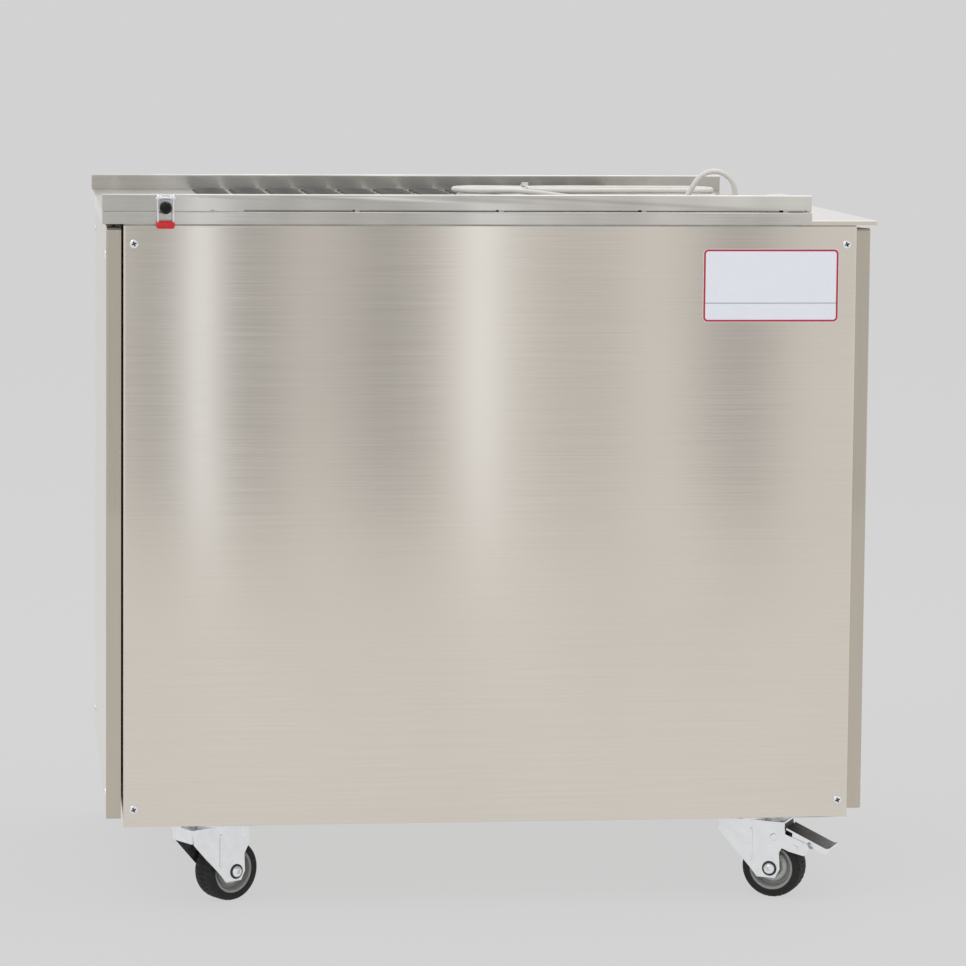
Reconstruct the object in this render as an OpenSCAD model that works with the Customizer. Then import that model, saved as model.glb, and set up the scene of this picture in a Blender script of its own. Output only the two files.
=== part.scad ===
// Egg candling table: a stainless cabinet on four swivel casters with a lamp deck on top.
// Trays of eggs slide between the two guide rails, over lit holes in the deck.
// X runs along the table towards the loading lip, -Y is the side with the rating plate, Z is up.

/* [Cabinet] */
// Length of the cabinet core between the end pans
core_w = 880; // [820:1:940]
// Depth of the cabinet core over its two side panels
core_d = 600; // [560:1:660]
// Height of the tube frame from base ring to top ring
frame_h = 722.5; // [640:0.5:760]
// Width of the square frame tube
tube = 25; // [22:1:28]
// Wall of the frame tube
tube_wall = 1.5; // [1:0.1:2.5]
// Thickness of the panel and pan sheet
sheet = 1.2; // [0.8:0.1:2]
// Depth of the folded edges of the side panels
fold = 14; // [10:1:14]
// Corner radius of the panels and pans
corner = 4; // [2:0.5:6]
// Gap between the base ring and the lower edge of a side panel
panel_lower = 3; // [2:0.5:3.5]
// Shadow gap between the deck and a side panel
shadow_gap = 2; // [1:0.5:4]
// How far an end pan stands off the core
pan_t = 20; // [14:1:24]
// Depth of an end pan across the cabinet
pan_d = 570; // [500:1:571]
// Height of an end pan's edges above the base ring and below the top ring
pan_inset = 4; // [2:0.5:10]
// Thickness of the base shelf
shelf_t = 1.5; // [1:0.1:2.5]

/* [Fixings] */
// Head radius of the panel screws
head_r = 5.5; // [4:0.1:6.5]
// Head height of the panel screws
head_h = 2.4; // [1.5:0.1:3]
// Shank radius of the panel screws
shank_r = 2.4; // [1.5:0.1:3]
// Panel screw distance from the side edge of a panel
screw_x = 12.5; // [10:0.5:16]
// Panel screw distance from the upper and lower edge of a panel
screw_z = 21.5; // [18:0.5:30]
// Pan screw distance from the upper and lower edge of an end pan
pan_screw_z = 32; // [20:1:60]
// Pan screw distance from the side edge of an end pan
pan_screw_y = 9; // [8:1:14]

/* [Deck] */
// Length of the loading lip past the end of the deck
lip_l = 81; // [75:1:95]
// Overhang of the deck past the left end pan and of the lip past the right one
deck_over = 5; // [2:1:10]
// Overhang of the deck past each side panel
deck_side = 2.4; // [2.2:0.1:5]
// Thickness of the deck sheet
deck_t = 1.5; // [1:0.1:2.5]
// Height of the deck's folded edge
deck_drop = 15; // [13:0.5:17]
// Thickness of the packers under the deck
packer_t = 10; // [9:0.5:14]
// Thickness of the loading lip
lip_t = 1.5; // [1:0.1:2.5]
// Height of the lip's folded edge
lip_drop = 5.5; // [4:0.5:6]
// Height of the guide rails above the deck
rail_h = 20; // [16:1:26]
// Width of the guide rails
rail_w = 14; // [10:0.5:18]
// Wall of the guide rails
rail_wall = 1.5; // [1:0.1:2.5]
// Step from the deck's edge to the rail
rail_step = 3; // [2:0.5:5]
// Number of tack welds along each rail
weld_count = 5; // [3:1:8]
// Spacing of the tack welds
weld_pitch = 172; // [80:1:180]
// Height of a tack weld
weld_r = 1.8; // [1:0.1:2]

/* [Lamps] */
// Lamp holes along the deck
lamp_cols = 12; // [8:1:12]
// Lamp holes across the deck
lamp_rows = 11; // [6:1:11]
// Spacing of the lamp holes
lamp_pitch = 48; // [44:0.5:48]
// Distance from the middle of the cabinet to the middle of the lamp grid
grid_x = -48; // [-60:1:-30]
// Radius of the deck holes
hole_r = 17; // [15:0.1:18]
// Radius of the opening in a rubber cup
cup_in_r = 15; // [12:0.1:15.5]
// Radius of the cup's rim
cup_rim_r = 21; // [19:0.1:22]
// Height of the cup's rim above the deck
cup_rim_h = 3; // [2:0.1:5]
// Depth of the cup below the deck sheet
cup_tail = 5.5; // [4:0.1:8]
// Height of a reflector tube
reflector_h = 18; // [12:0.5:24]
// Wall of a reflector tube
reflector_wall = 1.2; // [0.8:0.1:2]
// Thickness of the lamp board
board_t = 2; // [1.5:0.1:4]
// Radius of a board standoff
standoff_r = 5; // [4:0.5:7]

/* [Casters] */
// Overall height of a caster
caster_h = 105; // [102:0.5:112]
// Radius of a wheel
wheel_r = 37.5; // [36:0.1:37.5]
// Width of a wheel
wheel_w = 32; // [28:0.5:32]
// Thickness of the tyre
tyre_t = 10; // [7:0.5:12]
// Kingpin distance from the middle of the cabinet along X
kingpin_x = 336; // [300:1:350]
// Kingpin distance from the middle of the cabinet along Y
kingpin_y = 240; // [210:1:244]
// Trail from the kingpin to the wheel axle
trail = 28; // [26:0.5:30]
// Thickness of the fork sheet
fork_t = 2.5; // [2:0.1:3]
// Free space between a wheel and each fork leg
fork_gap = 3; // [2.6:0.1:4]
// Thickness of the caster's top plate
plate_t = 3; // [2.5:0.1:4]
// Bolt spacing of the top plate along X
bolt_dx = 72; // [72:0.5:76]
// Bolt spacing of the top plate along Y
bolt_dy = 42; // [40:0.5:46]
// Shank radius of the caster bolts
bolt_r = 4; // [3:0.1:4.2]
// Thickness of the cross members
cross_t = 4; // [3:0.5:6]
// Radius of the axle sleeve
sleeve_r = 6; // [5:0.1:7]
// Radial running clearance of pins in bores
run_gap = 0.05; // [0.02:0.01:0.1]
// Clearance between moving pieces that face each other
face_gap = 0.4; // [0.3:0.05:0.6]

/* [Tray stop] */
// Distance of the tray stop from the middle of the cabinet
stop_x = -391; // [-410:1:-340]
// Height of the plunger above the deck
stop_z = 5; // [5:0.1:7]
// Radius of the plunger
plunger_r = 2.5; // [2:0.1:2.8]
// Reach of the plunger into the tray bay
stop_reach = 10; // [6:0.5:12]
// Radius of the ball knob
knob_r = 7.5; // [6:0.1:7.5]
// Height of the handle's pivot above the plunger
pivot_h = 11; // [10:0.5:12]

/* [Electrics] */
// Width of the rating plate
plate_w = 165; // [120:1:180]
// Height of the rating plate
plate_h = 88; // [60:1:100]
// Rating plate distance from the right edge of its panel
plate_side = 22; // [18:1:40]
// Rating plate distance from the upper edge of its panel
plate_top = 27; // [25:1:60]
// Diameter of the mains cord
cord_d = 6.5; // [6:0.1:6.8]
// Distance of the cord's bush from the loading end of the deck
bush_in = 84; // [78:1:90]
// Distance of the cord's bush from the near edge of the deck
bush_side = 52; // [48:1:56]
// Height of the switch above the base shelf
switch_z = 630; // [200:1:640]
// Distance of the switch from the middle of the cabinet
switch_x = 350; // [-380:1:380]
// Radius of the rocker about its pivot
rocker_r = 11; // [9:0.1:12]
// Tilt of the rocker each way
rocker_tilt = 9; // [5:1:10]

/* [Hidden] */
$fn = 48;

steel = "#c9c7c2";
zinc = "#d5d6d2";
black = "#1c1b1a";
white = "#eceae4";
red = "#c8242c";
rim = "#8e8d88";
overlap = 0.5;

// Heights, from the floor up
frame_z = caster_h + cross_t;
base_top = frame_z + tube;
ring_top = frame_z + frame_h;
deck_under = ring_top + packer_t;
deck_top = deck_under + deck_t;
lip_top = ring_top + lip_t;
panel_z = frame_z - panel_lower;
panel_top = deck_top - deck_drop - shadow_gap;
panel_h = panel_top - panel_z;
pan_z = frame_z + pan_inset;
pan_h = ring_top - 2 * pan_inset - pan_z;
cup_top = deck_top + cup_rim_h;
lens_z = deck_under - cup_tail;
board_top = lens_z - reflector_h;

// Half sizes in plan
frame_x = core_w / 2 - sheet;
frame_y = core_d / 2 - sheet;
post_x = frame_x - tube / 2;
post_y = frame_y - tube / 2;
pan_x = core_w / 2 + pan_t;
deck_x0 = -pan_x - deck_over;
deck_y = core_d / 2 + deck_side;
rail_y = deck_y - rail_step;
lip_x1 = pan_x + deck_over;
deck_x1 = lip_x1 - lip_l;
deck_l = deck_x1 - deck_x0;
lip_y = frame_y + lip_t + 0.3;

// Tray stop, in the cabinet's frame
bracket_t = 2;
boss_l = 4;
boss_r = plunger_r + 2;
cross_pin_r = 1.5;
pin_r = 1.5;
swing = stop_reach / 2;
stop_axis_z = deck_top + stop_z;
pivot_z = stop_axis_z + pivot_h;
bracket_y = -rail_y - bracket_t;
cross_pin_y = bracket_y - boss_l - 3;
pivot_y = cross_pin_y - swing;
knob_y = cross_pin_y - 3 - knob_r;
cheek_x = knob_r + 0.5;
cheek_t = 2;
stop_angle = atan2(swing, pivot_h);

// Reach of the table to each side, which sets where its middle lies
rocker_y = core_d / 2 - 4;
rocker_cut = 3.6;
near_reach = knob_r - knob_y;
far_reach = rocker_y + rocker_r * cos(acos((rocker_r - rocker_cut) / rocker_r) - 2 * rocker_tilt);
shift_y = (near_reach - far_reach) / 2;

// Casters: side along X, side along Y and the angle that the fork has swivelled to
CASTERS = [[-1, -1, 33], [1, -1, -28], [-1, 1, 152], [1, 1, -12]];
NL = 0;
NR = 1;
FL = 2;
FR = 3;
crown_top = caster_h - 9;
leg_in = wheel_w / 2 + fork_gap;
hub_r = wheel_r - tyre_t;
crown_r = 22;
race_r = 24;
race_in_r = 14;
bore_l = 100;
brake_x = trail + 31.8;
brake_z = 66.3;
brake_pin_r = 3;
brake_w = 40;
pad_w = 24;

// The cord past its bush, measured from the bush and from the deck
cord_r = cord_d / 2;
hank_x = -150;
hank_y = 220;
hank_z = 7.7;
hank_run = 250;
hank_turns = 5;
hank_step = 9.6;
hank_r = 43;
hank_layer = 7.2;
waist_x = -75;
waist_l = 62;
waist_in = 0.25;
LEAD_ROUTE = [
    [0, 0, 14], [0, 0, 21], [-3.5, 0, 34], [-13, 0, 43.5], [-26, 0, 47],
    [-39, 0, 43.5], [-48.5, 0.5, 34], [-57, 1, 19.6], [-66.5, 2, 10.1], [-79.5, 4, 6.6],
    [-105, 9, 6.5], [-135, 18, 6.5], [-172, 33, 6.5], [-210, 52, 6.5], [-245, 70, 6.5],
    [-275, 84, 6.5], [-304, 93, 6.5], [-327, 104, 6.5], [-340, 124, 6.5], [-340, 148, 6.6],
    [-326, 168, 7], [-304, 176.2, 7.5], [-282, 177, 7.7], [-275, 177, 7.7]
];
TAIL_ROUTE = [
    [-275, 177, 14.9], [-268, 177, 14.9], [-245, 175.5, 14.7], [-215, 171, 12.5], [-185, 163.5, 9],
    [-155, 155, 6.8], [-120, 144.5, 6.6], [-85, 132, 6.6], [-55, 117, 5.2], [-30, 98, 3.8],
    [-12, 75, 4], [-2, 52, 6], [11, 33, 8.2], [30, 25, 9], [37, 25, 9]
];
INNER_ROUTE = [
    [0, 0, -12], [0, 0, -19], [0, 1, -63], [0, 7, -143], [0, 18, -243],
    [1, 32, -343], [1, 48, -443], [2, 64, -543], [2, 76, -613], [2, 81.5, -650],
    [2, 82, -673], [2, 82, -683.5]
];

// Places a piece that is measured from the middle of the cabinet
module place() translate([0, shift_y, 0]) children();

// Square tubes along each axis, centred on it
module tube_x(l) difference() {
    cube([l, tube, tube], center = true);
    cube([l + 2 * overlap, tube - 2 * tube_wall, tube - 2 * tube_wall], center = true);
}
module tube_y(l) rotate([0, 0, 90]) tube_x(l);
module tube_z(l) rotate([0, 90, 0]) tube_x(l);

// Rectangle with round corners, centred
module round_rect(w, h, r) {
    square([w - 2 * r, h], center = true);
    square([w, h - 2 * r], center = true);
    for (sx = [-1, 1], sy = [-1, 1]) translate([sx * (w / 2 - r), sy * (h / 2 - r)]) circle(r);
}

// Screw with a pan head, its seat at the origin and its head towards +Z
module screw(r, h, shank, l) {
    rotate_extrude() polygon([
        [0, -l], [shank, -l], [shank, 0], [r, 0], [r, h * 0.45], [r * 0.85, h * 0.85], [r * 0.5, h], [0, h]
    ]);
}

module frame_posts() color(steel) place()
    for (sx = [-1, 1], sy = [-1, 1])
        translate([sx * post_x, sy * post_y, (base_top + ring_top - tube) / 2])
            tube_z(ring_top - tube - base_top);

// Four tubes in a ring, the end tubes between the side tubes
module ring(z) place() {
    for (sy = [-1, 1]) translate([0, sy * post_y, z]) tube_x(2 * frame_x);
    for (sx = [-1, 1]) translate([sx * post_x, 0, z]) tube_y(2 * (frame_y - tube));
}
module frame_top_ring() color(steel) ring(ring_top - tube / 2);
module frame_base_ring() color(steel) ring(frame_z + tube / 2);

module cross_members() color(steel) place()
    for (sx = [-1, 1]) translate([sx * kingpin_x, 0, caster_h]) linear_extrude(cross_t) difference() {
        square([bolt_dx + 26, 2 * (frame_y - fold - 1)], center = true);
        for (sy = [-1, 1], dx = [-1, 1], dy = [-1, 1])
            translate([dx * bolt_dx / 2, sy * kingpin_y + dy * bolt_dy / 2]) circle(bolt_r);
    }

module base_shelf() color(steel) place() translate([0, 0, base_top]) linear_extrude(shelf_t) difference() {
    square([2 * frame_x, 2 * frame_y], center = true);
    for (sx = [-1, 1], sy = [-1, 1]) translate([sx * post_x, sy * post_y]) square(tube, center = true);
}

// Side panel with its face towards -Y: face, side folds and lower fold, with holes for its screws
module side_panel() {
    translate([0, -frame_y, panel_z + panel_h / 2]) rotate([90, 0, 0]) linear_extrude(sheet) difference() {
        round_rect(core_w, panel_h, corner);
        for (sx = [-1, 1], sz = [-1, 1])
            translate([sx * (core_w / 2 - screw_x), sz * (panel_h / 2 - screw_z)]) circle(shank_r);
    }
    for (sx = [-1, 1])
        translate([sx * (core_w - sheet) / 2, -frame_y - sheet / 2 + fold / 2, panel_z + panel_h / 2])
            cube([sheet, fold, panel_h - 2 * corner], center = true);
    translate([0, -frame_y - sheet / 2 + fold / 2, panel_z + sheet / 2])
        cube([core_w - 2 * corner, fold, sheet], center = true);
}
module near_panel() color(steel) place() side_panel();
module far_panel() color(steel) place() difference() {
    rotate([0, 0, 180]) side_panel();
    translate([switch_x, core_d / 2, base_top + switch_z])
        cube([bezel_in_w + 0.4, 4 * sheet, bezel_in_h + 0.4], center = true);
}

// End pan on the left: a shallow cover, open towards the core
module end_pan() translate([-pan_x, 0, pan_z + pan_h / 2]) difference() {
    rotate([0, 90, 0]) linear_extrude(pan_x - frame_x) round_rect(pan_h, pan_d, corner);
    translate([sheet, 0, 0]) rotate([0, 90, 0]) linear_extrude(pan_x - frame_x)
        round_rect(pan_h - 2 * sheet, pan_d - 2 * sheet, corner - sheet / 2);
    for (sy = [-1, 1], sz = [-1, 1])
        translate([-overlap, sy * (pan_d / 2 - pan_screw_y), sz * (pan_h / 2 - pan_screw_z)])
            rotate([0, 90, 0]) cylinder(h = sheet + 2 * overlap, r = shank_r);
}
module left_end_pan() color(steel) place() end_pan();
module right_end_pan() color(steel) place() rotate([0, 0, 180]) end_pan();

module panel_screws() color(zinc) place()
    for (turn = [0, 180], sx = [-1, 1], sz = [-1, 1]) rotate([0, 0, turn])
        translate([
            sx * (core_w / 2 - screw_x), -core_d / 2,
            panel_z + panel_h / 2 + sz * (panel_h / 2 - screw_z)
        ]) rotate([90, 0, 0]) screw(head_r, head_h, shank_r, sheet);

module pan_screws() color(zinc) place()
    for (turn = [0, 180], sy = [-1, 1], sz = [-1, 1]) rotate([0, 0, turn])
        translate([
            -pan_x, sy * (pan_d / 2 - pan_screw_y),
            pan_z + pan_h / 2 + sz * (pan_h / 2 - pan_screw_z)
        ]) rotate([0, -90, 0]) screw(head_r, head_h, shank_r, pan_x - frame_x);

// Centres of the lamp holes
module lamp_grid()
    for (i = [0 : lamp_cols - 1], j = [0 : lamp_rows - 1])
        translate([grid_x + (i - (lamp_cols - 1) / 2) * lamp_pitch, (j - (lamp_rows - 1) / 2) * lamp_pitch])
            children();

lip_lap = 12;
bearer_gap = 4.5;
bearer_x = deck_x1 - lip_lap - bearer_gap - tube / 2;
deck_screw_y = 80;
deck_screw_r = 2.5;
bush_r = 7;
bush_at = [deck_x1 - bush_in, -deck_y + bush_side, 0];
module deck_screw_places()
    for (x = [-post_x, bearer_x], sy = [-1, 1]) translate([x, sy * deck_screw_y]) children();

// The deck: sheet with its holes, folded down at the sides and at both ends
module deck() color(steel) place() {
    translate([0, 0, deck_under]) linear_extrude(deck_t) difference() {
        translate([deck_x0, -deck_y]) square([deck_l, 2 * deck_y]);
        lamp_grid() circle(hole_r);
        deck_screw_places() circle(deck_screw_r);
        translate(bush_at) circle(bush_r);
    }
    for (sy = [-1, 1]) translate([deck_x0, sy * (deck_y - deck_t / 2) - deck_t / 2, deck_top - deck_drop])
        cube([deck_l, deck_t, deck_drop]);
    translate([deck_x0, -deck_y, deck_top - deck_drop]) cube([deck_t, 2 * deck_y, deck_drop]);
    translate([deck_x1 - deck_t, -deck_y, lip_top]) cube([deck_t, 2 * deck_y, deck_top - lip_top]);
}

// Packers on the top ring and a bearer tube across it, which carry the deck
module deck_bearers() color(steel) place() {
    for (sy = [-1, 1]) translate([-frame_x, sy * post_y - tube / 2, ring_top])
        cube([frame_x + bearer_x + tube / 2, tube, packer_t]);
    translate([-frame_x, -post_y + tube / 2 + 0.3, ring_top]) cube([tube, 2 * post_y - tube - 0.6, packer_t]);
    translate([bearer_x, 0, deck_under - tube / 2]) tube_y(2 * (post_y - tube / 2) - 0.6);
}

module deck_screws() color(zinc) place()
    deck_screw_places() translate([0, 0, deck_top]) screw(head_r, head_h, deck_screw_r, deck_t);

// Guide rail with its outer face towards -Y: a channel, open below
module guide_rail() difference() {
    translate([deck_x0, -rail_y, deck_top]) cube([deck_l, rail_w, rail_h]);
    translate([deck_x0 - overlap, -rail_y + rail_wall, deck_top - overlap])
        cube([deck_l + 2 * overlap, rail_w - 2 * rail_wall, rail_h - rail_wall + overlap]);
}
module near_rail() color(steel) place() difference() {
    guide_rail();
    translate([stop_x, -rail_y - overlap, stop_axis_z]) rotate([-90, 0, 0])
        cylinder(h = rail_w + 2 * overlap, r = plunger_r + face_gap);
}
module far_rail() color(steel) place() rotate([0, 0, 180]) translate([-deck_x0 - deck_x1, 0, 0]) guide_rail();

// Tack welds between the deck and the outer face of each rail
weld_l = 6;
weld_mid = (deck_x0 + deck_x1) / 2 + 49;
module rail_welds() color(steel) place()
    for (sy = [-1, 1], i = [0 : weld_count - 1])
        translate([weld_mid + (i - (weld_count - 1) / 2) * weld_pitch, sy * rail_y, deck_top])
            rotate([90, 0, 90]) linear_extrude(weld_l, center = true) intersection() {
                circle(weld_r);
                translate([sy < 0 ? -weld_r : 0, 0]) square(weld_r);
            }

// The loading lip: a flat sheet at the right end, folded down on three sides
lip_x0 = deck_x1 - lip_lap;
module loading_lip() color(steel) place() {
    translate([lip_x0, -lip_y, ring_top]) cube([lip_x1 - lip_x0, 2 * lip_y, lip_t]);
    for (sy = [-1, 1]) translate([lip_x0, sy * (lip_y - lip_t / 2) - lip_t / 2, lip_top - lip_drop])
        cube([lip_x1 - lip_x0, lip_t, lip_drop]);
    translate([lip_x1 - lip_t, -lip_y, lip_top - lip_drop]) cube([lip_t, 2 * lip_y, lip_drop]);
}

// Rubber cup in a deck hole: rim above the sheet, groove round it, tail below
module lamp_cups() color(black) place() lamp_grid() rotate_extrude() polygon([
    [cup_in_r, lens_z], [hole_r + 2, lens_z], [hole_r + 2, deck_under - 0.1], [hole_r - 0.1, deck_under],
    [hole_r - 0.1, deck_top], [cup_rim_r, deck_top], [cup_rim_r, deck_top + cup_rim_h / 2],
    [cup_rim_r - 1.5, cup_top], [cup_in_r + 1, cup_top], [cup_in_r, cup_top - 1]
]);

// Frosted lens on each reflector tube, inside the cup
module lamp_lenses() color(white) place() lamp_grid() translate([0, 0, lens_z]) rotate_extrude() polygon([
    [0, 0], [cup_in_r - 0.2, 0], [cup_in_r - 0.2, 1.5], [cup_in_r * 0.75, 3.2], [cup_in_r * 0.4, 4.3], [0, 4.7]
]);

module reflector_tubes() color(zinc) place() lamp_grid()
    translate([0, 0, board_top]) linear_extrude(reflector_h) difference() {
        circle(cup_in_r + reflector_wall);
        circle(cup_in_r);
    }

board_w = lamp_cols * lamp_pitch + 12;
board_d = min(lamp_rows * lamp_pitch + 12, 2 * (frame_y - tube) - 6);
standoff_x = lamp_pitch * (lamp_cols - 2) / 2;
standoff_y = board_d / 2 - standoff_r - 0.5;
module standoff_places()
    for (sx = [-1, 1], sy = [-1, 1]) translate([grid_x + sx * standoff_x, sy * standoff_y]) children();

// Board with a lamp in the middle of each reflector tube
module lamp_board() color(white) place() {
    translate([grid_x - board_w / 2, -board_d / 2, board_top - board_t]) cube([board_w, board_d, board_t]);
    lamp_grid() translate([0, 0, board_top - overlap]) cylinder(h = 2 + overlap, r = 5);
}
module board_standoffs() color(zinc) place() standoff_places()
    translate([0, 0, board_top]) cylinder(h = deck_under - board_top, r = standoff_r);

supply_w = 200;
supply_d = 110;
supply_h = 48;
supply_z = base_top + shelf_t;
supply_x = bush_at[0] - 85;
supply_y = bush_at[1] + 120.4;
// Power supply: a cased unit with a cover, cooling slots and a terminal step
module power_supply() color(zinc) place() translate([supply_x, supply_y, supply_z]) difference() {
    union() {
        translate([-supply_w / 2, -supply_d / 2, 0]) cube([supply_w, supply_d, 2]);
        translate([-supply_w / 2, -supply_d / 2, 0]) cube([supply_w - 28, supply_d, supply_h]);
        translate([-supply_w / 2, -supply_d / 2 + 5, 0]) cube([supply_w - 6, supply_d - 10, supply_h - 2]);
    }
    translate([supply_w / 2 - 24, -supply_d / 2 + 9, supply_h / 2]) cube([30, supply_d - 18, supply_h]);
    for (i = [0 : 8]) translate([-supply_w / 2 + 20 + 14 * i, -supply_d / 2 - 1, 14]) cube([5, 4, 22]);
}

module rating_plate() color(white) place()
    translate([core_w / 2 - plate_side - plate_w / 2, -core_d / 2, panel_top - plate_top - plate_h / 2])
        rotate([90, 0, 0]) linear_extrude(0.8) round_rect(plate_w, plate_h, 5);

// Rocker switch on the far panel
bezel_in_w = 17;
bezel_in_h = 2 * rocker_r + 7;
switch_at = [switch_x, 0, base_top + switch_z];
module switch_bezel() color(black) place() translate(switch_at) difference() {
    union() {
        translate([0, core_d / 2 + 2.2, 0]) rotate([90, 0, 0]) linear_extrude(2.2)
            round_rect(bezel_in_w + 6, bezel_in_h + 6, 2);
        translate([-bezel_in_w / 2, core_d / 2 - 22, -bezel_in_h / 2]) cube([bezel_in_w, 22.5, bezel_in_h]);
    }
    translate([-bezel_in_w / 2 + 1.6, rocker_y - rocker_r - 1, -rocker_r - 0.6])
        cube([bezel_in_w - 3.2, 2 * rocker_r + 20, 2 * rocker_r + 1.2]);
    translate([-bezel_in_w, rocker_y, 0]) rotate([0, 90, 0]) cylinder(h = 2 * bezel_in_w, r = pin_r + run_gap);
}
// The rocker: round about its pivot, with two faces that meet in a shallow V
module switch_rocker() color(black) place() translate(switch_at) translate([0, rocker_y, 0])
    rotate([rocker_tilt, 0, 0]) {
        translate([-bezel_in_w / 2 + 2, 0, 0]) rotate([0, 90, 0]) difference() {
            cylinder(h = bezel_in_w - 4, r = rocker_r);
            for (s = [-1, 1]) rotate([0, 0, s * rocker_tilt])
                translate([s > 0 ? 0 : -2 * rocker_r, rocker_r - rocker_cut, -1])
                    cube([2 * rocker_r, 6, bezel_in_w]);
        }
        translate([-bezel_in_w / 2 + 0.1, 0, 0]) rotate([0, 90, 0]) cylinder(h = bezel_in_w - 0.2, r = pin_r);
    }

// Tray stop: bracket on the rail with a guide boss, two ears and the handle's pivot pin
ear_x = 5;
ear_t = 2;
module stop_bracket() color(zinc) place() translate([stop_x, 0, 0]) difference() {
    union() {
        translate([-10, bracket_y, deck_top + 0.5]) cube([20, bracket_t, rail_h - 1]);
        translate([0, bracket_y + overlap, stop_axis_z]) rotate([90, 0, 0])
            cylinder(h = boss_l + overlap, r = boss_r);
        for (s = [-1, 1]) translate([s * (ear_x + ear_t / 2), 0, 0]) {
            translate([-ear_t / 2, pivot_y, pivot_z - 3]) cube([ear_t, bracket_y - pivot_y + overlap, 6]);
            translate([-ear_t / 2, pivot_y, pivot_z]) rotate([0, 90, 0]) cylinder(h = ear_t, r = 3);
        }
        translate([-cheek_x - cheek_t - 1.5, pivot_y, pivot_z]) rotate([0, 90, 0])
            cylinder(h = 2 * (cheek_x + cheek_t + 1.5), r = pin_r);
    }
    translate([0, bracket_y + bracket_t + overlap, stop_axis_z]) rotate([90, 0, 0])
        cylinder(h = boss_l + bracket_t + 2 * overlap, r = plunger_r + run_gap);
}

// Plunger with its cross pin
module stop_plunger() color(zinc) place() translate([stop_x, 0, stop_axis_z]) {
    translate([0, -rail_y + rail_w + stop_reach, 0]) rotate([90, 0, 0])
        cylinder(h = -rail_y + rail_w + stop_reach - knob_y - knob_r + 1, r = plunger_r);
    translate([-cheek_x - cheek_t, cross_pin_y, 0]) rotate([0, 90, 0])
        cylinder(h = 2 * (cheek_x + cheek_t), r = cross_pin_r);
}
// Ball knob, flat where the plunger enters it
module stop_knob() color(black) place() translate([stop_x, knob_y, stop_axis_z]) rotate([-90, 0, 0])
    rotate_extrude() intersection() {
        circle(knob_r);
        translate([0, -knob_r]) square([knob_r, 2 * knob_r - 1]);
    }

// Handle: two cheeks that hang from the pivot, each with a slot round the cross pin
grip_top = deck_top - 11;
grip_h = 9;
grip_y = pivot_y + 1;
slot_r = cross_pin_r + face_gap;
module stop_handle() color(zinc) place()
    for (s = [-1, 1]) translate([stop_x + s * (cheek_x + cheek_t / 2) - cheek_t / 2, 0, 0])
        rotate([90, 0, 90]) linear_extrude(cheek_t) difference() {
            union() {
                translate([pivot_y, pivot_z]) circle(4.2);
                translate([cross_pin_y, stop_axis_z]) circle(4.2);
                polygon([
                    [pivot_y - 4, pivot_z + 1], [pivot_y + 3.8, pivot_z + 1.6],
                    [cross_pin_y + 4, stop_axis_z + 1], [cross_pin_y + 3, stop_axis_z - 4],
                    [grip_y + 3, grip_top + 3], [grip_y + 3, grip_top - grip_h + 2],
                    [grip_y - 3, grip_top - grip_h + 2], [grip_y - 3, grip_top + 3],
                    [cross_pin_y - 5, stop_axis_z]
                ]);
            }
            translate([pivot_y, pivot_z]) circle(pin_r + run_gap);
            translate([cross_pin_y, stop_axis_z]) rotate(stop_angle - 90)
                round_rect(2 * slot_r + 2, 2 * slot_r, slot_r - 0.01);
        }
// Red dipped grip over the lower ends of both cheeks
module stop_grip() color(red) place() translate([stop_x, grip_y, grip_top - grip_h / 2]) difference() {
    rotate([0, 90, 0]) linear_extrude(2 * (cheek_x + cheek_t) + 2, center = true) round_rect(grip_h, 10, 3.5);
    for (s = [-1, 1]) translate([s * (cheek_x + cheek_t / 2), 0, grip_h / 2])
        cube([cheek_t, 6, 2 * grip_h - 4], center = true);
}

// Tube swept along a list of points: rings square to the path, triangles between them
function unit(v) = v / norm(v);
function lean(u, t) = unit(u - (u * t) * t);
function heading(p, i) = unit(p[min(i + 1, len(p) - 1)] - p[max(i - 1, 0)]);
function carried(p, start) = [
    for (i = 0, u = lean(start, heading(p, 0)); i < len(p);
        i = i + 1, u = lean(u, heading(p, min(i, len(p) - 1)))) u
];
module swept(p, r, sides, start) {
    n = len(p);
    side = carried(p, start);
    points = [
        for (i = [0 : n - 1], k = [0 : sides - 1])
            p[i] + r * (cos(360 * k / sides) * side[i] + sin(360 * k / sides) * cross(heading(p, i), side[i]))
    ];
    walls = [
        for (i = [0 : n - 2], k = [0 : sides - 1], half = [0, 1])
            let (a = i * sides + k, b = i * sides + (k + 1) % sides)
                half == 0 ? [a, b + sides, b] : [a, a + sides, b + sides]
    ];
    ends = [
        for (k = [1 : sides - 2], end = [0, 1])
            end == 0 ? [0, k, k + 1] : [(n - 1) * sides, (n - 1) * sides + k + 1, (n - 1) * sides + k]
    ];
    polyhedron(points, concat(walls, ends));
}
// Smooth curve through route points, in equal steps between each pair
function along(a, b, c, d, t) =
    0.5 * (2 * b + (c - a) * t + (2 * a - 5 * b + 4 * c - d) * t * t + (3 * b - a - 3 * c + d) * t * t * t);
function smooth(p, steps) = [
    for (i = [0 : len(p) - 2], s = [0 : steps - 1])
        along(p[max(i - 1, 0)], p[i], p[i + 1], p[min(i + 2, len(p) - 1)], s / steps),
    p[len(p) - 1]
];

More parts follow.
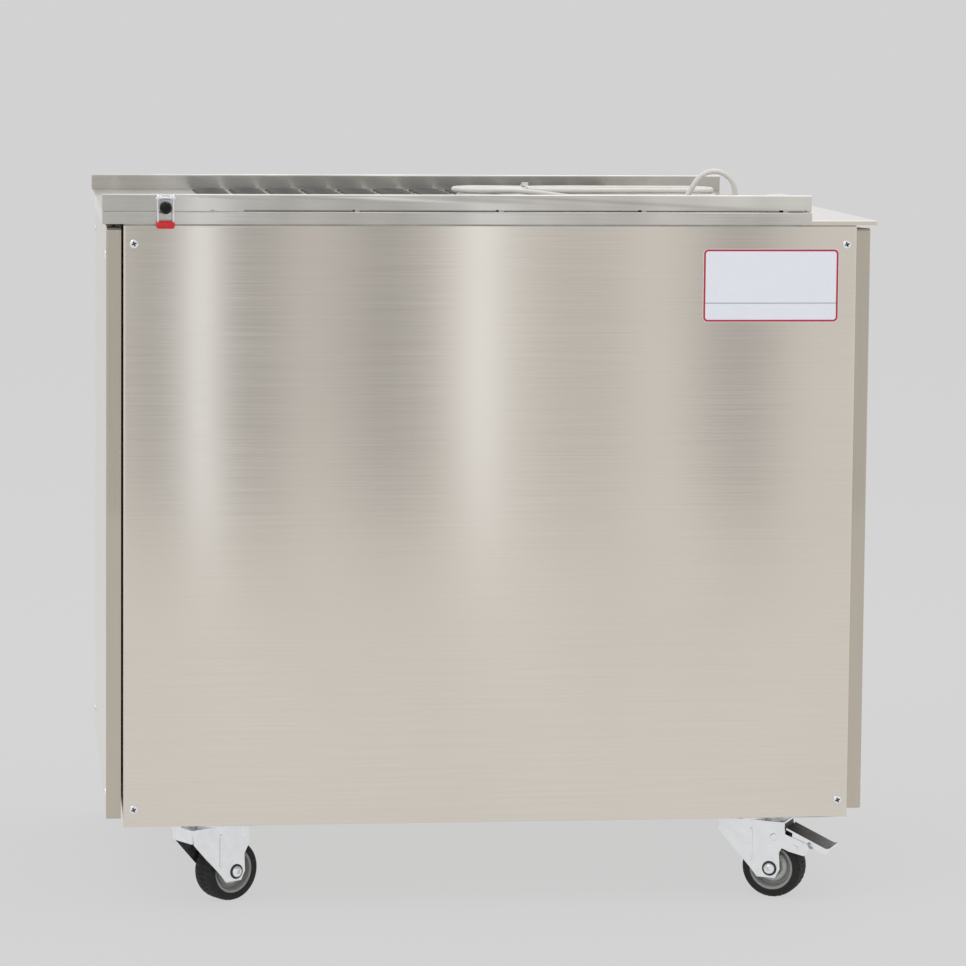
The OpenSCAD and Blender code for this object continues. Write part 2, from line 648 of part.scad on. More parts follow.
// Strain relief bush: snapped into the deck, tapered above it
module cord_bush() color(white) place() translate(bush_at) rotate_extrude() polygon([
    [0, deck_under - 10.5], [bush_r - 2, deck_under - 10.5],
    [bush_r + 0.8, deck_under - 3], [bush_r + 0.8, deck_under], [bush_r, deck_under],
    [bush_r, deck_top], [10, deck_top], [10, deck_top + 2], [9, deck_top + 3],
    [6.5, deck_top + 3.5], [cord_r + 1.2, deck_top + 14], [0, deck_top + 14]
]);
module on_deck() place() translate([bush_at[0], bush_at[1], deck_top]) children();
module cord_lead() color(white) on_deck() swept(smooth(LEAD_ROUTE, 2), cord_r, 8, [1, 0, 0]);
module cord_tail() color(white) on_deck() swept(smooth(TAIL_ROUTE, 2), cord_r, 8, [0, 0, 1]);
module inner_lead() color(white) on_deck() swept(INNER_ROUTE, cord_r, 8, [1, 0, 0]);

// The hank: loops that spiral in along one layer and out again along the next, drawn in at the waist
HANK_STEPS = 24;
function waist(x) = abs(x - waist_x) < waist_l ? 1 - waist_in * pow(cos(90 * (x - waist_x) / waist_l), 2) : 1;
function climb(t) = min(max((t - hank_turns / 2) / (5 / HANK_STEPS), 0), 1);
function hank_point(t) =
    let (
        k = (t - floor(t)) * HANK_STEPS,
        r = hank_r - hank_step * min(t, hank_turns - t),
        z = hank_z + hank_layer * climb(t),
        near = -hank_run / 2 + hank_run * k / 5,
        far = hank_run / 2 - hank_run * (k - 12) / 5,
        a = -90 + 180 * (k - 5) / 7,
        b = 90 + 180 * (k - 17) / 7
    )
    [hank_x, hank_y, 0] + (
        k < 5 ? [near, -r * waist(near), z] :
        k < 12 ? [hank_run / 2 + r * cos(a), r * sin(a), z] :
        k < 17 ? [far, r * waist(far), z] :
        [-hank_run / 2 + r * cos(b), r * sin(b), z]
    );
HANK = [for (i = [0 : hank_turns * HANK_STEPS]) hank_point(i / HANK_STEPS)];
hank_gap = min([
    for (i = [0 : len(HANK) - 1], j = [i + HANK_STEPS / 2 : 1 : len(HANK) - 1]) norm(HANK[i] - HANK[j])
]) - cord_d;
echo(hank_gap = hank_gap);
module cord_hank() color(white) on_deck() swept(HANK, cord_r, 6, [0, 0, 1]);

// Tie round the waist of the hank: a flat band with its head on top
tie_w = 5;
tie_t = 1;
tie_side = hank_r * (1 - waist_in) + cord_r + 1.1;
tie_low = hank_z - cord_r - 0.2;
tie_high = hank_z + hank_layer + cord_r + 0.3;
module cord_tie() color(white) on_deck() translate([hank_x + waist_x, hank_y, (tie_low + tie_high) / 2]) {
    rotate([90, 0, 90]) linear_extrude(tie_w, center = true) difference() {
        round_rect(2 * (tie_side + tie_t), tie_high - tie_low + 2 * tie_t, 4);
        round_rect(2 * tie_side, tie_high - tie_low, 3);
    }
    translate([-4, 6, (tie_high - tie_low) / 2 + tie_t - 0.4]) cube([8, 7, 4]);
}

// Plug: moulded body with its cord entry towards -X, on the deck, with three flat blades
plug_x = 37;
plug_y = 25;
plug_h = 18;
module plug() color(white) on_deck() translate([plug_x, plug_y, plug_h / 2]) {
    difference() {
        linear_extrude(plug_h, center = true) {
            translate([20, 0]) round_rect(24, 34, 5);
            polygon([[0, -4.6], [10, -9], [10, 9], [0, 4.6]]);
            polygon([[10, -9], [12, -14], [12, 14], [10, 9]]);
        }
        for (s = [-1, 1]) translate([0, 0, s * 14.5]) rotate([0, s * 26, 0]) cube([24, 40, 14], center = true);
    }
    for (s = [-1, 1]) translate([31, s * 8 - 0.8, -3]) cube([14, 1.6, 6]);
    translate([31, -3, -0.8]) cube([14, 6, 1.6]);
}

// Places a piece of caster c, measured from its kingpin on the floor
module at_caster(c) place() translate([CASTERS[c][0] * kingpin_x, CASTERS[c][1] * kingpin_y, 0]) children();
module on_fork(c) at_caster(c) rotate([0, 0, CASTERS[c][2]]) children();
module bolt_places()
    for (dx = [-1, 1], dy = [-1, 1]) translate([dx * bolt_dx / 2, dy * bolt_dy / 2]) children();

// Top plates, each with its pressed race and its riveted kingpin
kingpin_r = 5;
kingpin_low = crown_top - fork_t - 4;
race_low = crown_top + 3;
module caster_plates() color(zinc) for (c = [0 : 3]) at_caster(c) {
    translate([0, 0, caster_h - plate_t]) linear_extrude(plate_t) difference() {
        round_rect(bolt_dx + 22, bolt_dy + 22, 6);
        bolt_places() circle(bolt_r);
    }
    translate([0, 0, race_low]) linear_extrude(caster_h - plate_t - race_low + overlap) difference() {
        circle(race_r);
        circle(race_in_r);
    }
    translate([0, 0, kingpin_low]) cylinder(h = caster_h - overlap - kingpin_low, r = kingpin_r);
    translate([0, 0, crown_top - fork_t - 0.4 - 4.5]) cylinder(h = 4.5, r = 9);
}

module caster_bolts() color(zinc) for (c = [0 : 3]) at_caster(c) bolt_places() {
    translate([0, 0, caster_h - plate_t - 4]) cylinder(h = 4, r = 6.4, $fn = 6);
    translate([0, 0, caster_h - plate_t - overlap]) cylinder(h = plate_t + cross_t + overlap, r = bolt_r);
}

// Outline of a fork leg seen from its side, with an ear for the brake where there is one
module leg_outline(brake) {
    polygon([
        [-38, crown_top], [-38, crown_top - 4], [-34, 77], [trail - 24, 36], [trail - 16, 26], [trail + 7, 26],
        [trail + 13, 37], [trail + 12, 58], [trail + 20, 72], [trail + 18, crown_top]
    ]);
    if (brake) polygon([
        [10, crown_top], [trail + 9, 85.5], [trail + 47, 71], [trail + 50, 66], [trail + 43, 56.5],
        [trail + 24, 60.5], [trail + 10, 66]
    ]);
}
// Fork: crown with the ball race on it, and two legs; bores for kingpin and axle
module fork(c, brake) color(zinc) on_fork(c) difference() {
    union() {
        for (s = [-1, 1]) translate([0, s * (leg_in + fork_t / 2) + fork_t / 2, 0]) rotate([90, 0, 0])
            linear_extrude(fork_t) leg_outline(brake);
        translate([-38, -leg_in - overlap, crown_top - fork_t])
            cube([trail + 56, 2 * (leg_in + overlap), fork_t]);
        translate([-38, -leg_in - overlap, 79]) cube([fork_t, 2 * (leg_in + overlap), crown_top - 79]);
        translate([0, 0, crown_top - overlap]) linear_extrude(2.7 + overlap) circle(crown_r);
    }
    translate([0, 0, crown_top - fork_t - 1]) cylinder(h = fork_t + 6, r = kingpin_r + run_gap);
    translate([trail, bore_l / 2, wheel_r]) rotate([90, 0, 0]) cylinder(h = bore_l, r = bolt_r);
    if (brake) translate([brake_x, bore_l / 2, brake_z]) rotate([90, 0, 0])
        cylinder(h = bore_l, r = brake_pin_r + run_gap);
}

module on_axle(c) on_fork(c) translate([trail, 0, wheel_r]) rotate([90, 0, 0]) children();

// Axle bolt with its sleeve between the legs, head at one end and nut at the other
module axle(c) color(zinc) on_axle(c) {
    cylinder(h = 2 * leg_in, r = sleeve_r, center = true);
    cylinder(h = 2 * (leg_in + fork_t), r = bolt_r, center = true);
    translate([0, 0, leg_in + fork_t]) cylinder(h = 5.3, r = 7.4, $fn = 6);
    translate([0, 0, -leg_in - fork_t - 6.5]) cylinder(h = 6.5, r = 7.4, $fn = 6);
}

// Wheel hub: boss round the sleeve, dished web and rim under the tyre
module hub(c) color(rim) on_axle(c) rotate_extrude() polygon([
    [sleeve_r + run_gap, -leg_in + face_gap], [10, -leg_in + face_gap], [10.5, -5], [hub_r - 5, -5],
    [hub_r - 2.5, -wheel_w / 2 + 1], [hub_r, -wheel_w / 2 + 1], [hub_r, wheel_w / 2 - 1],
    [hub_r - 2.5, wheel_w / 2 - 1], [hub_r - 5, 5], [10.5, 5], [10, leg_in - face_gap],
    [sleeve_r + run_gap, leg_in - face_gap]
]);
module tyre(c) color(black) on_axle(c) rotate_extrude() polygon([
    [hub_r, -wheel_w / 2], [wheel_r - 4, -wheel_w / 2],
    [wheel_r - 1.2, -wheel_w / 2 + 2], [wheel_r, -wheel_w / 2 + 6],
    [wheel_r, wheel_w / 2 - 6], [wheel_r - 1.2, wheel_w / 2 - 2],
    [wheel_r - 4, wheel_w / 2], [hub_r, wheel_w / 2]
]);

// Brake pedal: sloping tread with folded sides, pivot cheeks and the pad that meets the tyre
module brake(c) color(zinc) on_fork(c) {
    rotate([90, 0, 0]) linear_extrude(brake_w, center = true) polygon([
        [trail + 20, 86.9], [trail + 44, 76.5], [trail + 70, 65.3], [trail + 75, 66], [trail + 75, 68.2],
        [trail + 70.3, 67.6], [trail + 44.8, 78.6], [trail + 20.8, 89]
    ]);
    for (s = [-1, 1]) {
        translate([0, s * (brake_w / 2 - 1), 0]) rotate([90, 0, 0]) linear_extrude(2, center = true) polygon([
            [trail + 53, 73.5], [trail + 53, 70], [trail + 60, 62], [trail + 70, 60],
            [trail + 75, 66], [trail + 60, 71]
        ]);
        translate([0, s * (leg_in - face_gap - 0.9), 0]) rotate([90, 0, 0]) linear_extrude(1.8, center = true) {
            translate([brake_x, brake_z]) circle(7);
            polygon([
                [brake_x - 5, brake_z + 4], [brake_x + 6, brake_z - 3], [trail + 50, 75.2], [trail + 44, 77.5],
                [trail + 28, 84.4]
            ]);
        }
    }
    translate([brake_x, 0, brake_z]) rotate([90, 0, 0])
        cylinder(h = 2 * (leg_in + fork_t) + 3, r = brake_pin_r, center = true);
    translate([brake_x + 1.3, -pad_w / 2, brake_z - 8.5]) cube([5.2, pad_w, 8]);
}

module near_left_fork() fork(NL, false);
module near_left_axle() axle(NL);
module near_left_hub() hub(NL);
module near_left_tyre() tyre(NL);
module near_right_fork() fork(NR, true);
module near_right_axle() axle(NR);
module near_right_hub() hub(NR);
module near_right_tyre() tyre(NR);
module near_right_brake() brake(NR);
module far_left_fork() fork(FL, false);
module far_left_axle() axle(FL);
module far_left_hub() hub(FL);
module far_left_tyre() tyre(FL);
module far_right_fork() fork(FR, true);
module far_right_axle() axle(FR);
module far_right_hub() hub(FR);
module far_right_tyre() tyre(FR);
module far_right_brake() brake(FR);

frame_posts();
frame_top_ring();
frame_base_ring();
cross_members();
base_shelf();
near_panel();
far_panel();
left_end_pan();
right_end_pan();
panel_screws();
pan_screws();
deck();
deck_bearers();
deck_screws();
near_rail();
far_rail();
rail_welds();
loading_lip();
lamp_cups();
lamp_lenses();
reflector_tubes();
lamp_board();
board_standoffs();
power_supply();
inner_lead();
rating_plate();
switch_bezel();
switch_rocker();
stop_bracket();
stop_plunger();
stop_knob();
stop_handle();
stop_grip();
cord_bush();
cord_lead();
cord_hank();
cord_tail();
cord_tie();
plug();
caster_plates();
caster_bolts();
near_left_fork();
near_left_axle();
near_left_hub();
near_left_tyre();
near_right_fork();
near_right_axle();
near_right_hub();
near_right_tyre();
near_right_brake();
far_left_fork();
far_left_axle();
far_left_hub();
far_left_tyre();
far_right_fork();
far_right_axle();
far_right_hub();
far_right_tyre();
far_right_brake();
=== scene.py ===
# %% [markdown]
# # Egg candling table
# A candling table is a steel cabinet on casters. Trays of eggs slide over a deck of lit holes, and the
# light shows whether an egg is fertile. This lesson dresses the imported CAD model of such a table:
# sheet metal with folded edges, rubber cups, casters, a mains cord in a hank, and a plain studio.
# Everything is in metres, in the frame of the CAD model, so nothing has to be fitted.

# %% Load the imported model
import math

import bmesh
import bpy
from mathutils import Matrix, Vector


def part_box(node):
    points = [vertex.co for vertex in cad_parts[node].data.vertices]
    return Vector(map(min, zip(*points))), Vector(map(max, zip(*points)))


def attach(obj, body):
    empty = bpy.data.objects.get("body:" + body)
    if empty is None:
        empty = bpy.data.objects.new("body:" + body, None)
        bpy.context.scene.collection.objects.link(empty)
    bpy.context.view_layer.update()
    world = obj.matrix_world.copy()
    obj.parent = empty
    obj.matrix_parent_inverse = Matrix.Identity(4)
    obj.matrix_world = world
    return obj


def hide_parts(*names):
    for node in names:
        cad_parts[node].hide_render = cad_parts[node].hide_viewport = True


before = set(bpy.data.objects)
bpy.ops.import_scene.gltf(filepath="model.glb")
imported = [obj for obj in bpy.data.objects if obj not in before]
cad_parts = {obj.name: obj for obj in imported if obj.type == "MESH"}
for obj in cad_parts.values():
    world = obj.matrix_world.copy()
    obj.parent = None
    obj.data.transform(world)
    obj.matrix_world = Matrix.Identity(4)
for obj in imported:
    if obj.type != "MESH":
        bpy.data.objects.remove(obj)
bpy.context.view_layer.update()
MM = 0.001

# %% [markdown]
# ## Camera
# A camera sees straight panels as the photograph does only from the same side and height. This one
# stands 4.7 m away, left of the middle, with a long lens, so the lines of the deck run gently back
# to the left. A small lens shift frames the table without tilting its upright edges.

# %% Camera
def new_object(name, data):
    """An object for this data, linked to the scene."""
    made = bpy.data.objects.new(name, data)
    bpy.context.scene.collection.objects.link(made)
    return made


camera = new_object("camera", bpy.data.cameras.new("camera"))
bpy.context.scene.camera = camera
camera.location = (-0.5703, -4.6752, 1.0658)
camera.rotation_euler = [math.radians(a) for a in (85.01, -0.386, -5.728)]
camera.data.lens = 138.615
camera.data.shift_x = 0.1
camera.data.shift_y = -0.14
print("camera is", round((camera.location - Vector((0, 0, 0.4))).length, 2), "m from the cabinet")

# %% [markdown]
# ## Colours and nodes
# A colour picked from a screen is sRGB, and Blender's nodes work in linear light. One function turns
# a hex value into linear numbers, and one more adds a node with its settings and its links.

# %% Colour and node helpers
def linear(hex_code):
    """Opaque linear colour of an sRGB hex code such as c8c2b8."""
    parts = [int(hex_code[i:i + 2], 16) / 255 for i in (0, 2, 4)]
    return [c / 12.92 if c <= 0.04045 else ((c + 0.055) / 1.055) ** 2.4 for c in parts] + [1.0]


def add_node(tree, kind, links=None, values=None, **settings):
    """A new node: settings are its own properties, values its sockets, links its inputs."""
    made = tree.nodes.new(kind)
    for name, value in settings.items():
        setattr(made, name, value)
    for name, value in (values or {}).items():
        made.inputs[name].default_value = value
    for name, socket in (links or {}).items():
        tree.links.new(socket, made.inputs[name])
    return made


def ranged(tree, value, low, high, out_low, out_high):
    """A socket with the value stretched from one range to another."""
    return add_node(tree, "ShaderNodeMapRange", {"Value": value},
                    {"From Min": low, "From Max": high, "To Min": out_low, "To Max": out_high}).outputs[0]


def new_material(name, **shader):
    """An empty node material with its shader: returns it, its tree, its shader and its coordinates."""
    material = bpy.data.materials.new(name)
    material.use_nodes = True
    tree = material.node_tree
    tree.nodes.clear()
    surface = add_node(tree, "ShaderNodeBsdfPrincipled", values=shader)
    add_node(tree, "ShaderNodeOutputMaterial", {"Surface": surface.outputs[0]})
    place = add_node(tree, "ShaderNodeTexCoord").outputs["Object"]
    return material, tree, surface, place


print("steel grey", [round(c, 3) for c in linear("d9d2c8")])

# %% [markdown]
# ## Brushed stainless steel
# The sheet is AISI 304 steel, brushed with an abrasive belt. The belt leaves fine scratches all in one
# direction, and these spread a reflection across them: on a panel brushed along X, a lamp shows as an
# upright band. So the shader's tangent, the direction of the wider spread, is the cross product of
# the grain and the normal. The grain is turned a little off its axis, so the product is never zero.
# Metallic is 1, and the colour is the colour of the reflection, a warm grey. Real scratches are 0.1 to
# 0.3 mm apart, finer than a pixel here, so they are drawn 1 to 2 mm apart, faintly, to show at all.
# Belt work is also uneven, and the clouds vary the tone over a hand's width.

# %% Brushed steel
OFF_AXIS = 0.03
SCRATCH_L, SCRATCH_W = 200 * MM, 1.4 * MM
GLOSS = 0.015


def brushed_steel(name, grain, tint="d9d2c8", rough=0.1, streaks=0.03, clouds=0.012, cloud_size=0.2):
    """Brushed sheet: grain is the axis that the scratches run along."""
    material, tree, surface, place = new_material(name, Metallic=1.0, Roughness=rough, Anisotropic=1.0)
    along = [1.0 if axis == grain else OFF_AXIS for axis in "XYZ"]
    normal = add_node(tree, "ShaderNodeTexCoord").outputs["Normal"]
    spread = add_node(tree, "ShaderNodeVectorMath", {0: normal}, {1: along}, operation="CROSS_PRODUCT")
    tree.links.new(spread.outputs[0], surface.inputs["Tangent"])
    stretch = [1 / (SCRATCH_L if axis == grain else SCRATCH_W) for axis in "XYZ"]
    drawn = add_node(tree, "ShaderNodeMapping", {"Vector": place}, {"Scale": stretch})
    scratches = add_node(tree, "ShaderNodeTexNoise", {"Vector": drawn.outputs[0]},
                         {"Scale": 1.0, "Detail": 4.0, "Roughness": 0.65})
    uneven = add_node(tree, "ShaderNodeTexNoise", {"Vector": place}, {"Scale": 1 / cloud_size, "Detail": 2.0})
    streak = ranged(tree, scratches.outputs["Fac"], 0.3, 0.7, 1 - streaks, 1 + streaks)
    cloud = ranged(tree, uneven.outputs["Fac"], 0.35, 0.65, 1 - clouds, 1 + clouds)
    tone = add_node(tree, "ShaderNodeMath", {0: streak, 1: cloud}, operation="MULTIPLY")
    colour = add_node(tree, "ShaderNodeVectorMath", {"Scale": tone.outputs[0]}, {0: linear(tint)[:3]},
                      operation="SCALE")
    tree.links.new(colour.outputs[0], surface.inputs["Base Color"])
    gloss = ranged(tree, scratches.outputs["Fac"], 0.3, 0.7, rough - GLOSS, rough + GLOSS)
    tree.links.new(gloss, surface.inputs["Roughness"])
    return material


steel_along_x = brushed_steel("brushed_304_stainless_along_x", "X")
steel_along_y = brushed_steel("brushed_304_stainless_along_y", "Y")
# The end pans are drawn the other way round, so their grain stands upright; their darker, warmer tint is
# painted shade and painted warm reflection
steel_upright_painted_shade = brushed_steel("brushed_304_stainless_upright_painted_shade", "Z", tint="bdb5a8")
# Deck and rails are dressed by hand after welding, so they are duller and far more uneven
steel_deck = brushed_steel("polished_304_stainless_deck", "X", tint="cfccc6", rough=0.13, clouds=0.12,
                           cloud_size=0.12)
print("steel finishes:", [m.name for m in (steel_along_x, steel_along_y, steel_upright_painted_shade, steel_deck)])

# %% [markdown]
# ## The other finishes
# Most of the rest is zinc plate, rubber, PVC and moulded plastic. Each has a speckle or a cloud of its
# own: plated steel is mottled in patches of a few millimetres, rubber is dusty, and moulded plastic
# has a fine even texture. So one recipe with different numbers serves them, and each is named for
# what it is made of.

# %% Speckled finishes
def speckled(name, tint, dark, size, rough, spread=0.08, bumps=0.15, depth=0.0002, **shader):
    """A finish whose colour and gloss vary in patches of the given size in metres."""
    material, tree, surface, place = new_material(name, **shader)
    patches = add_node(tree, "ShaderNodeTexNoise", {"Vector": place},
                       {"Scale": 1 / size, "Detail": 4.0, "Roughness": 0.6})
    colour = add_node(tree, "ShaderNodeMix", {"Factor": patches.outputs["Fac"]}, data_type="RGBA")
    colour.inputs[6].default_value = linear(dark)
    colour.inputs[7].default_value = linear(tint)
    tree.links.new(colour.outputs[2], surface.inputs["Base Color"])
    gloss = ranged(tree, patches.outputs["Fac"], 0.3, 0.7, rough + spread, rough - spread)
    tree.links.new(gloss, surface.inputs["Roughness"])
    bump = add_node(tree, "ShaderNodeBump", {"Height": patches.outputs["Fac"]},
                    {"Strength": bumps, "Distance": depth})
    tree.links.new(bump.outputs[0], surface.inputs["Normal"])
    return material


# Bright zinc plate on pressed steel: a bluish metal, mottled where the bath was uneven
zinc_plate = speckled("bright_zinc_plate", "f2f3f4", "e2e4e6", 0.012, 0.3, spread=0.05, bumps=0.05,
                      Metallic=1.0)
# Zinc plate painted darker, with a faint sheen: painted shade in the screw recesses, painted shade together
# with the dark of the spring washers round the axle bolts, and a painted dark reflection on the pedal treads
painted_shade_zinc = speckled("dark_zinc_painted_shade", "4a4b4f", "38393c", 0.01, 0.34, spread=0.05, bumps=0.05,
                      Metallic=1.0)
# Mill finish tube, as drawn: duller and greyer than the brushed sheet
mill_tube = speckled("mill_finish_stainless_tube", "b9b7b2", "a09e99", 0.03, 0.42, Metallic=1.0)
# Solid rubber tyre: black with dust in it, almost no gloss
tyre_rubber = speckled("solid_tyre_rubber", "1c1c1c", "111111", 0.004, 0.75, bumps=0.4, depth=0.0003)
# Nylon wheel core, moulded in grey
wheel_nylon = speckled("grey_nylon_wheel_core", "a9aba7", "969894", 0.012, 0.4)
# Pressed ring in the wheel, lighter than the core
ring_nylon = speckled("light_nylon_ring", "dcdddb", "cccdcb", 0.01, 0.35)
# Soft EPDM cups: dark grey, matt
cup_rubber = speckled("epdm_cup_rubber", "5d5d5b", "4a4a49", 0.002, 0.6, bumps=0.3)
# Opal polycarbonate lens: lets light through and scatters it
opal_lens = speckled("opal_polycarbonate", "eeeeea", "e2e2dc", 0.003, 0.5)
# Solder mask on the lamp board
board_mask = speckled("white_solder_mask", "e6e5df", "dad9d2", 0.006, 0.4)
# Galvanised case of the power supply
supply_case = speckled("galvanised_case", "b7babb", "989c9e", 0.006, 0.38, Metallic=1.0)
# PVC sheath of the cord, a warm white that has picked up some dirt
pvc_sheath = speckled("white_pvc_sheath", "eceae6", "dad7d0", 0.012, 0.42, bumps=0.2)
# PVC mouldings on the cord
pvc_moulding = speckled("white_pvc_moulding", "e9e7e2", "d9d6cf", 0.004, 0.45, bumps=0.2)
# Nickel plated brass blades
plated_blade = speckled("nickel_plated_brass", "dcdad4", "c9c6bd", 0.004, 0.25, Metallic=1.0)
# Phenolic ball knob, glossy black, and the moulded switch, which is duller
phenolic = speckled("black_phenolic", "0c0c0c", "070707", 0.003, 0.15, spread=0.04, bumps=0.05,
                    **{"Specular IOR Level": 0.2})
switch_plastic = speckled("black_nylon_switch", "262626", "1b1b1b", 0.001, 0.42)
# Dipped vinyl grip: red, soft gloss with a slight orange peel
dipped_vinyl = speckled("red_dipped_vinyl", "e01f2b", "c8141f", 0.003, 0.3, bumps=0.25)
# Film face of the rating plate and its printed lines
film_face = speckled("white_polyester_film", "f4f7ff", "eff2fb", 0.02, 0.35, spread=0.04, bumps=0.02)
film_line = speckled("red_printed_line", "c2303d", "b62a37", 0.004, 0.4, spread=0.04, bumps=0.02)
film_rule = speckled("grey_printed_line", "8f9196", "85878c", 0.004, 0.4, spread=0.04, bumps=0.02)
print(len(bpy.data.materials), "materials")

# %% [markdown]
# ## Working in edit mode from a script
# A hand selects what it sees, and a script selects by place or by normal. These helpers enter edit
# mode on one object, choose its faces, edges or vertices by a test, and leave again. Everything is
# deselected first, because an operator acts on all that is selected.

# %% Edit helpers
def only(obj):
    """Deselect all and make this the active object."""
    bpy.ops.object.select_all(action="DESELECT")
    obj.select_set(True)
    bpy.context.view_layer.objects.active = obj


def edit(obj):
    only(obj)
    bpy.ops.object.mode_set(mode="EDIT")


def leave():
    bpy.ops.object.mode_set(mode="OBJECT")


def take_all():
    bpy.ops.mesh.select_all(action="SELECT")


def bevel(offset, segments):
    """In edit mode, bevel the selected edges."""
    bpy.ops.mesh.bevel(offset=offset, segments=segments, affect="EDGES")


def middle(part):
    if isinstance(part, bmesh.types.BMVert):
        return part.co
    return sum((v.co for v in part.verts), Vector()) / len(part.verts)


def choose(kind, test):
    """In edit mode, select the verts, edges or faces for which test(part, its middle) is true."""
    modes = {"verts": (True, False, False), "edges": (False, True, False), "faces": (False, False, True)}
    bpy.context.tool_settings.mesh_select_mode = modes[kind]
    bpy.ops.mesh.select_all(action="DESELECT")
    mesh = bpy.context.edit_object.data
    bm = bmesh.from_edit_mesh(mesh)
    found = [part for part in getattr(bm, kind) if test(part, middle(part))]
    for part in found:
        part.select_set(True)
    bm.select_flush_mode()
    bmesh.update_edit_mesh(mesh)
    return len(found)


def delete_faces(test):
    """In edit mode, delete the faces that the test picks."""
    choose("faces", test)
    bpy.ops.mesh.delete(type="FACE")


def near(a, b, slack=1e-5):
    return abs(a - b) < slack


def modified(obj, kind, **settings):
    """Add a modifier and apply it."""
    only(obj)
    change = obj.modifiers.new(kind.lower(), kind)
    for name, value in settings.items():
        setattr(change, name, value)
    bpy.ops.object.modifier_apply(modifier=change.name)


def eased(obj, width, segments, angle):
    """Bevel every edge that is sharper than the angle in degrees."""
    modified(obj, "BEVEL", width=width, segments=segments, limit_method="ANGLE",
             angle_limit=math.radians(angle))


def rounded(obj, angle=35):
    """Smooth shading with sharp edges kept, and faces that point outwards."""
    edit(obj)
    take_all()
    bpy.ops.mesh.normals_make_consistent(inside=False)
    leave()
    bpy.ops.object.shade_smooth_by_angle(angle=math.radians(angle))


def clothe(obj, *materials):
    obj.data.materials.clear()
    for material in materials:
        obj.data.materials.append(material)


def join(name, pieces):
    """Join finished pieces into the first one."""
    only(pieces[0])
    for piece in pieces:
        piece.select_set(True)
    bpy.ops.object.join()
    joined = bpy.context.view_layer.objects.active
    joined.name = name
    return joined


def fit(obj, body, slot, *nodes):
    """The piece rides on its body and stands for the CAD nodes. The slot is not used."""
    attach(obj, body)
    if nodes:
        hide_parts(*nodes)
    print(obj.name, "has", len(obj.data.polygons), "faces on", body)


def box_piece(name, low, high):
    """A cube primitive at its size and place, its place in its mesh."""
    low, high = Vector(low), Vector(high)
    bpy.ops.mesh.primitive_cube_add(size=1, location=(low + high) / 2)
    made = bpy.context.active_object
    made.name = name
    made.scale = high - low
    bpy.ops.object.transform_apply(location=True, rotation=True, scale=True)
    return made


def outline_piece(name, points):
    """A flat face with this outline, from a circle primitive whose corners are moved to it."""
    bpy.ops.mesh.primitive_circle_add(vertices=len(points), fill_type="NGON")
    made = bpy.context.active_object
    made.name = name
    for vertex, point in zip(made.data.vertices, points):
        vertex.co = Vector(point)
    return made


def turned_piece(name, profile, steps, to_axis=False):
    """A turned piece about Z: the profile of (radius, height) pairs in mm is spun right round."""
    bpy.ops.mesh.primitive_circle_add(vertices=len(profile), fill_type="NOTHING")
    made = bpy.context.active_object
    made.name = name
    for vertex, (radius, height) in zip(made.data.vertices, profile):
        vertex.co = Vector((radius * MM, 0, height * MM))
    edit(made)
    if to_axis:
        choose("edges", lambda e, m: m.x < 1e-7)
        bpy.ops.mesh.delete(type="EDGE")
    take_all()
    bpy.ops.mesh.spin(steps=steps, angle=2 * math.pi, center=(0, 0, 0), axis=(0, 0, 1))
    take_all()
    bpy.ops.mesh.remove_doubles(threshold=1e-6)
    leave()
    rounded(made)
    return made


def copied(obj, name, matrix):
    """A copy with its own mesh, moved by the matrix inside that mesh."""
    twin = new_object(name, obj.data.copy())
    twin.data.transform(matrix)
    return twin


def discard(*objects):
    for obj in objects:
        bpy.data.objects.remove(obj)


def levelled(obj):
    """Normals follow the large faces, so a flat sheet stays flat between its rounded folds."""
    modified(obj, "WEIGHTED_NORMAL", mode="FACE_AREA", weight=100, keep_sharp=True)


def softened(node, name, width):
    """A copy of a CAD node with its loose triangles merged and its edges bevelled."""
    twin = new_object(name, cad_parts[node].data.copy())
    edit(twin)
    take_all()
    bpy.ops.mesh.remove_doubles(threshold=2e-6)
    bpy.ops.mesh.dissolve_limited(angle_limit=math.radians(1))
    leave()
    eased(twin, width, 2, 30)
    rounded(twin)
    levelled(twin)
    return twin


def kept(node, name, width, body, slot, *materials):
    """A CAD node's own shape with eased edges, in these materials."""
    piece = softened(node, name, width)
    clothe(piece, *materials)
    fit(piece, body, slot, node)
    return piece


print("helpers ready")

# %% [markdown]
# ## Side panels
# Each side is one sheet of 1.2 mm steel, folded back at the sides and below. A folded sheet is never
# sharp: its edge has an inside radius of about its thickness, and that small round catches the light
# as a bright line. So the panel starts as a box of its full size, loses its back and its top, has
# its outer edges bevelled, and gets its wall from Solidify.

# %% Panels
SHEET = 1.2 * MM


def folded_panel(name, node, outside):
    low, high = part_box(node)
    panel = box_piece(name, low, high)
    edit(panel)
    face_y, back_y = (high.y, low.y) if outside > 0 else (low.y, high.y)
    delete_faces(lambda f, m: near(m.y, back_y) or near(m.z, high.z))
    choose("edges", lambda e, m: near(m.y, face_y) and not near(m.z, high.z))
    bevel(2.4 * MM, 4)
    leave()
    modified(panel, "SOLIDIFY", thickness=SHEET, offset=-1)
    eased(panel, 0.4 * MM, 2, 50)
    rounded(panel)
    levelled(panel)
    clothe(panel, steel_along_x)
    fit(panel, "cabinet", "stainless", node)
    return panel


folded_panel("near_side_panel", "near_panel", -1)
far_side = folded_panel("far_side_panel", "far_panel", 1)

# %% [markdown]
# The far panel has an opening for the switch. Cutting it by hand means two bisects each way and
# deleting what is between, and a Boolean does the same in one step, so the opening is cut with a box.

# %% Switch opening
def cut(obj, tool):
    modified(obj, "BOOLEAN", object=tool, operation="DIFFERENCE", solver="EXACT")
    discard(tool)


FLANGE = 3 * MM  # how far the bezel covers the edge of its opening
bezel_low, bezel_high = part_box("switch_bezel")
cut(far_side, box_piece("opening", bezel_low + Vector((FLANGE, 0, FLANGE)),
                        bezel_high - Vector((FLANGE, -5 * MM, FLANGE))))
print("far panel has", len(far_side.data.polygons), "faces with its opening")

